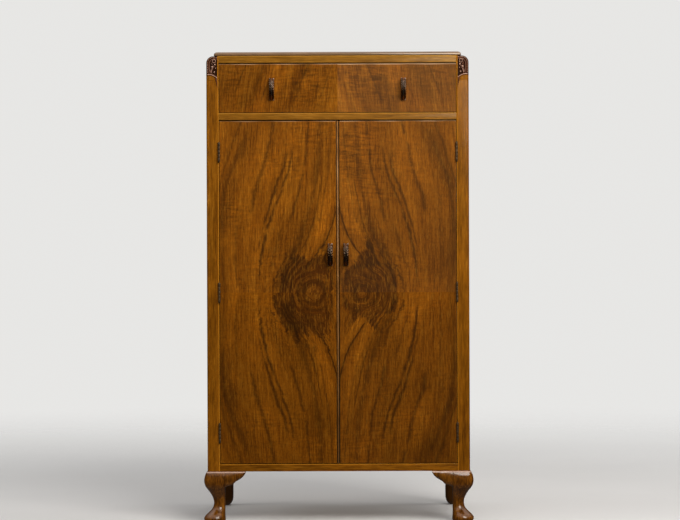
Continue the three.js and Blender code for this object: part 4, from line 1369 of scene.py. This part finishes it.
for side, _ in SIDES:
    handle(side + "_drawer_bow_handle", "drawer", "drawer_" + side + "_handle")
for side, _ in SIDES:
    handle(side + "_door_bow_handle", side + "_door", side + "_door_handle")


# ------------------------------------------------------------------ screws

SLOT = 0.16  # half the slot's width, as a share of the radius
HINGE_X = 0.3103  # the line between the frame's leaves and the doors'
HINGE_SCREWS = [(-18, 9.5), (0, 12.5), (18, 9.5)]  # up, and behind the front, in millimetres
SOCKET_FACE_X = HALF_WIDTH - 0.0193 - 0.0027
SOCKET_SCREW_CIRCLE = 0.0163  # radius
HANDLE_SCREW_HEIGHT = 0.0246  # above and below a handle's middle
PANEL_THICKNESS = 0.02


def add_screw(bm, centre, axis, turn, radius, dome):
    """Two half discs either side of a sunk slot."""
    axis = Vector(axis).normalized()
    along = axis.orthogonal().normalized()
    along.rotate(Matrix.Rotation(turn, 3, axis))
    over = axis.cross(along)

    def vert(a, b, out):
        return bm.verts.new(Vector(centre) + along * a + over * b + axis * out)

    first = math.asin(SLOT)
    for sign in (1, -1):
        top, low = [], []
        for k in range(15):
            angle = first + (math.pi - 2 * first) * k / 14
            a, b = math.cos(angle) * radius, sign * math.sin(angle) * radius
            # the dome narrows, but keeps to the slot's edge
            top_b = b * 0.88 if abs(b) > SLOT * radius * 1.2 else b
            top.append(vert(a * 0.88, top_b, dome))
            low.append(vert(a, b, -0.5 * MM))

        def face(verts):
            bm.faces.new(verts if sign > 0 else verts[::-1])

        face(top)
        face(low[::-1])
        for k in range(15):
            m = (k + 1) % 15
            face((top[k], low[k], low[m], top[m]))
    # the floor of the slot
    floor = [
        vert(a * radius * 0.98, b * SLOT * radius * 1.05, out * MM)
        for out in (-0.25, -0.45)
        for a, b in ((-1, -1), (1, -1), (1, 1), (-1, 1))
    ]
    bm.faces.new(floor[:4])
    bm.faces.new(floor[:3:-1])
    for k in range(4):
        m = (k + 1) % 4
        bm.faces.new((floor[m], floor[k], floor[4 + k], floor[4 + m]))


def screw_heads(name, body, spots, radius, dome):
    """Slotted heads as one piece, each spot being (point, outward axis, slot angle).
    radius and dome are in millimetres."""
    bm = bmesh.new()
    for centre, axis, turn in spots:
        add_screw(bm, centre, axis, turn, radius * MM, dome * MM)
    bmesh.ops.recalc_face_normals(bm, faces=bm.faces)
    mesh = bpy.data.meshes.new(name)
    bm.to_mesh(mesh)
    bm.free()
    mesh.materials.append(screw_brass)
    fit(add_object(name, mesh), body)


def hinge_screws(side, sign):
    """A frame leaf shows its face towards the opening, a door leaf towards the stile."""
    for part, body, outwards, turn, turn_step in (
        ("frame", "case", 1, 0.4, 1.3),
        ("door", side + "_door", -1, 1.1, 0.9),
    ):
        x = sign * (HINGE_X + outwards * 0.0003)
        spots = []
        for level in ("bottom", "middle", "top"):
            middle_z = middle(side + "_" + level + "_hinge_frame_leaf")[2]
            for k, (up, behind) in enumerate(HINGE_SCREWS):
                point = (x, FRONT + behind * MM, middle_z + up * MM)
                angle = turn + k * turn_step + middle_z
                spots.append((point, (-sign * outwards, 0, 0), angle))
        screw_heads(side + "_" + part + "_hinge_screws", body, spots, radius=2.5, dome=0.08)


def socket_screws(side, sign):
    _, y, z = middle(side + "_rail_socket")
    spots = []
    for k in range(3):
        angle = math.pi / 2 + k * 2 * math.pi / 3
        point = (sign * SOCKET_FACE_X, y + SOCKET_SCREW_CIRCLE * math.cos(angle),
                 z + SOCKET_SCREW_CIRCLE * math.sin(angle))
        spots.append((point, (-sign, 0, 0), k * 0.8))
    screw_heads(side + "_rail_socket_screws", "case", spots, radius=2.1, dome=0.5)


def handle_screws(frame_name, body, turn):
    """These come through from the back of the door or drawer front."""
    x, _, z = middle(frame_name)
    spots = [
        ((x, FRONT + PANEL_THICKNESS, z + up), (0, 1, 0), turn + up * 40)
        for up in (HANDLE_SCREW_HEIGHT, -HANDLE_SCREW_HEIGHT)
    ]
    screw_heads(frame_name + "_screws", body, spots, radius=3.0, dome=1.1)


for side, sign in SIDES:
    hinge_screws(side, sign)
    socket_screws(side, sign)
    handle_screws(side + "_door_handle", side + "_door", turn=0.5)
    handle_screws("drawer_" + side + "_handle", "drawer", turn=0.9)


# ------------------------------------------------------------------ stage

FLOOR_RADIUS = 9
BACKDROP = (0.80, 0.795, 0.78)


def floor_material():
    """A pale floor that fades into the background."""
    tree = material_tree("pale_floor")
    at = tree.place()
    cloud = tree.noise(at, scale=1.3, detail=3)
    color = tree.ramp(cloud, [(0.3, (0.70, 0.69, 0.67)), (0.7, (0.74, 0.73, 0.71))])
    surface = tree.node("ShaderNodeBsdfPrincipled", {
        "Base Color": color, "Roughness": 0.7, "Specular IOR Level": 0.15,
    })
    clear = tree.node("ShaderNodeBsdfTransparent")
    away = tree.node("ShaderNodeVectorMath", {0: at}, output="Value", operation="LENGTH")
    painted_sheen = tree.node("ShaderNodeMixShader", {0: away.rise(0.8, 4.6), 1: surface, 2: clear})
    tree.add_node("ShaderNodeOutputMaterial", {0: painted_sheen})
    return tree.owner


def add_floor():
    material = floor_material()
    mesh = bpy.data.meshes.new("floor")
    turns = [2 * math.pi * k / 64 for k in range(64)]
    rim = [(FLOOR_RADIUS * math.cos(a), FLOOR_RADIUS * math.sin(a), 0) for a in turns]
    mesh.from_pydata(rim, [], [tuple(range(64))])
    mesh.materials.append(material)
    floor = add_object("floor", mesh)
    floor.visible_glossy = False
    floor.visible_diffuse = False


def area(name, place, target, size, energy, color=(1, 1, 1), glossy=False):
    light = bpy.data.lights.new(name, "AREA")
    light.shape = "RECTANGLE"
    light.size, light.size_y = size
    light.energy = energy
    light.color = color
    lamp = bpy.data.objects.new(name, light)
    lamp.location = place
    aim = Vector(target) - Vector(place)
    lamp.rotation_euler = aim.to_track_quat("-Z", "Y").to_euler()
    bpy.context.scene.collection.objects.link(lamp)
    lamp.visible_glossy = glossy


add_floor()
area("key", place=(1.15, -2.3, 2.35), target=(0.1, 0, 0.8), size=(1.8, 1.8), energy=84,
     color=(1.0, 0.965, 0.93), glossy=True)
area("front_fill", place=(-0.4, -4.6, 2.6), target=(0, 0, 0.8), size=(4.0, 1.8), energy=40,
     color=(1.0, 0.985, 0.96))
area("left_fill", place=(-4.6, -0.6, 2.2), target=(0, 0, 0.6), size=(2.5, 2.5), energy=60)
area("right_fill", place=(4.6, 0.4, 2.2), target=(0, 0, 0.6), size=(2.5, 2.5), energy=50)
area("rear_fill", place=(0.5, 4.6, 2.4), target=(0, 0, 0.6), size=(3.0, 2.0), energy=60)


def studio_world():
    """A flat backdrop for the camera, a soft glow for diffuse light, and for reflections a sky
    that is bright overhead and faint below."""
    tree = Tree(bpy.data.worlds.new("studio"))

    def background(color, strength):
        return tree.node("ShaderNodeBackground", {0: color, 1: strength})

    def mix_shader(amount, first, second):
        return tree.node("ShaderNodeMixShader", {0: amount, 1: first, 2: second})

    ray = tree.add_node("ShaderNodeLightPath").outputs
    up = tree.split(tree.place("Generated"))[2]
    above = tree.map_range(up, from_min=0.36, from_max=0.90, to_min=0.020, to_max=1.25)
    below = tree.map_range(up, from_min=-0.40, from_max=-0.90, to_min=0.0, to_max=0.10)
    strength = tree.node("ShaderNodeMath", {0: above, 1: below}, operation="ADD")
    glow = background(color=(0.95, 0.96, 1.0), strength=0.30)
    sky = background(color=(1.0, 0.95, 0.90), strength=strength)
    lighting = mix_shader(ray["Is Glossy Ray"], glow, sky)
    backdrop = background(color=BACKDROP, strength=1.0)
    seen = mix_shader(ray["Is Camera Ray"], lighting, backdrop)
    tree.add_node("ShaderNodeOutputWorld", {0: seen})
    return tree.owner


bpy.context.scene.world = studio_world()
bpy.context.scene.view_settings.view_transform = "Standard"

# ------------------------------------------------------------------ camera, from the front

DISTANCE = 5.8
VIEW_WIDTH = 1.77616  # width seen at the wardrobe's front
VIEW_SHIFT = (-0.01306, 0.005224)  # of the picture, at the wardrobe's front
CAMERA_X, CAMERA_Z = 0.0180228, 0.680426
ROLL = 0.0036

cam_data = bpy.data.cameras.new("camera")
cam_data.sensor_width = 36
cam_data.lens = 36 * DISTANCE / VIEW_WIDTH
cam_data.shift_x = VIEW_SHIFT[0] / VIEW_WIDTH
cam_data.shift_y = VIEW_SHIFT[1] / VIEW_WIDTH
camera = bpy.data.objects.new("camera", cam_data)
camera.location = (CAMERA_X, FRONT - DISTANCE, CAMERA_Z)
camera.rotation_euler = (math.pi / 2, ROLL, 0)
bpy.context.scene.collection.objects.link(camera)
bpy.context.scene.camera = camera
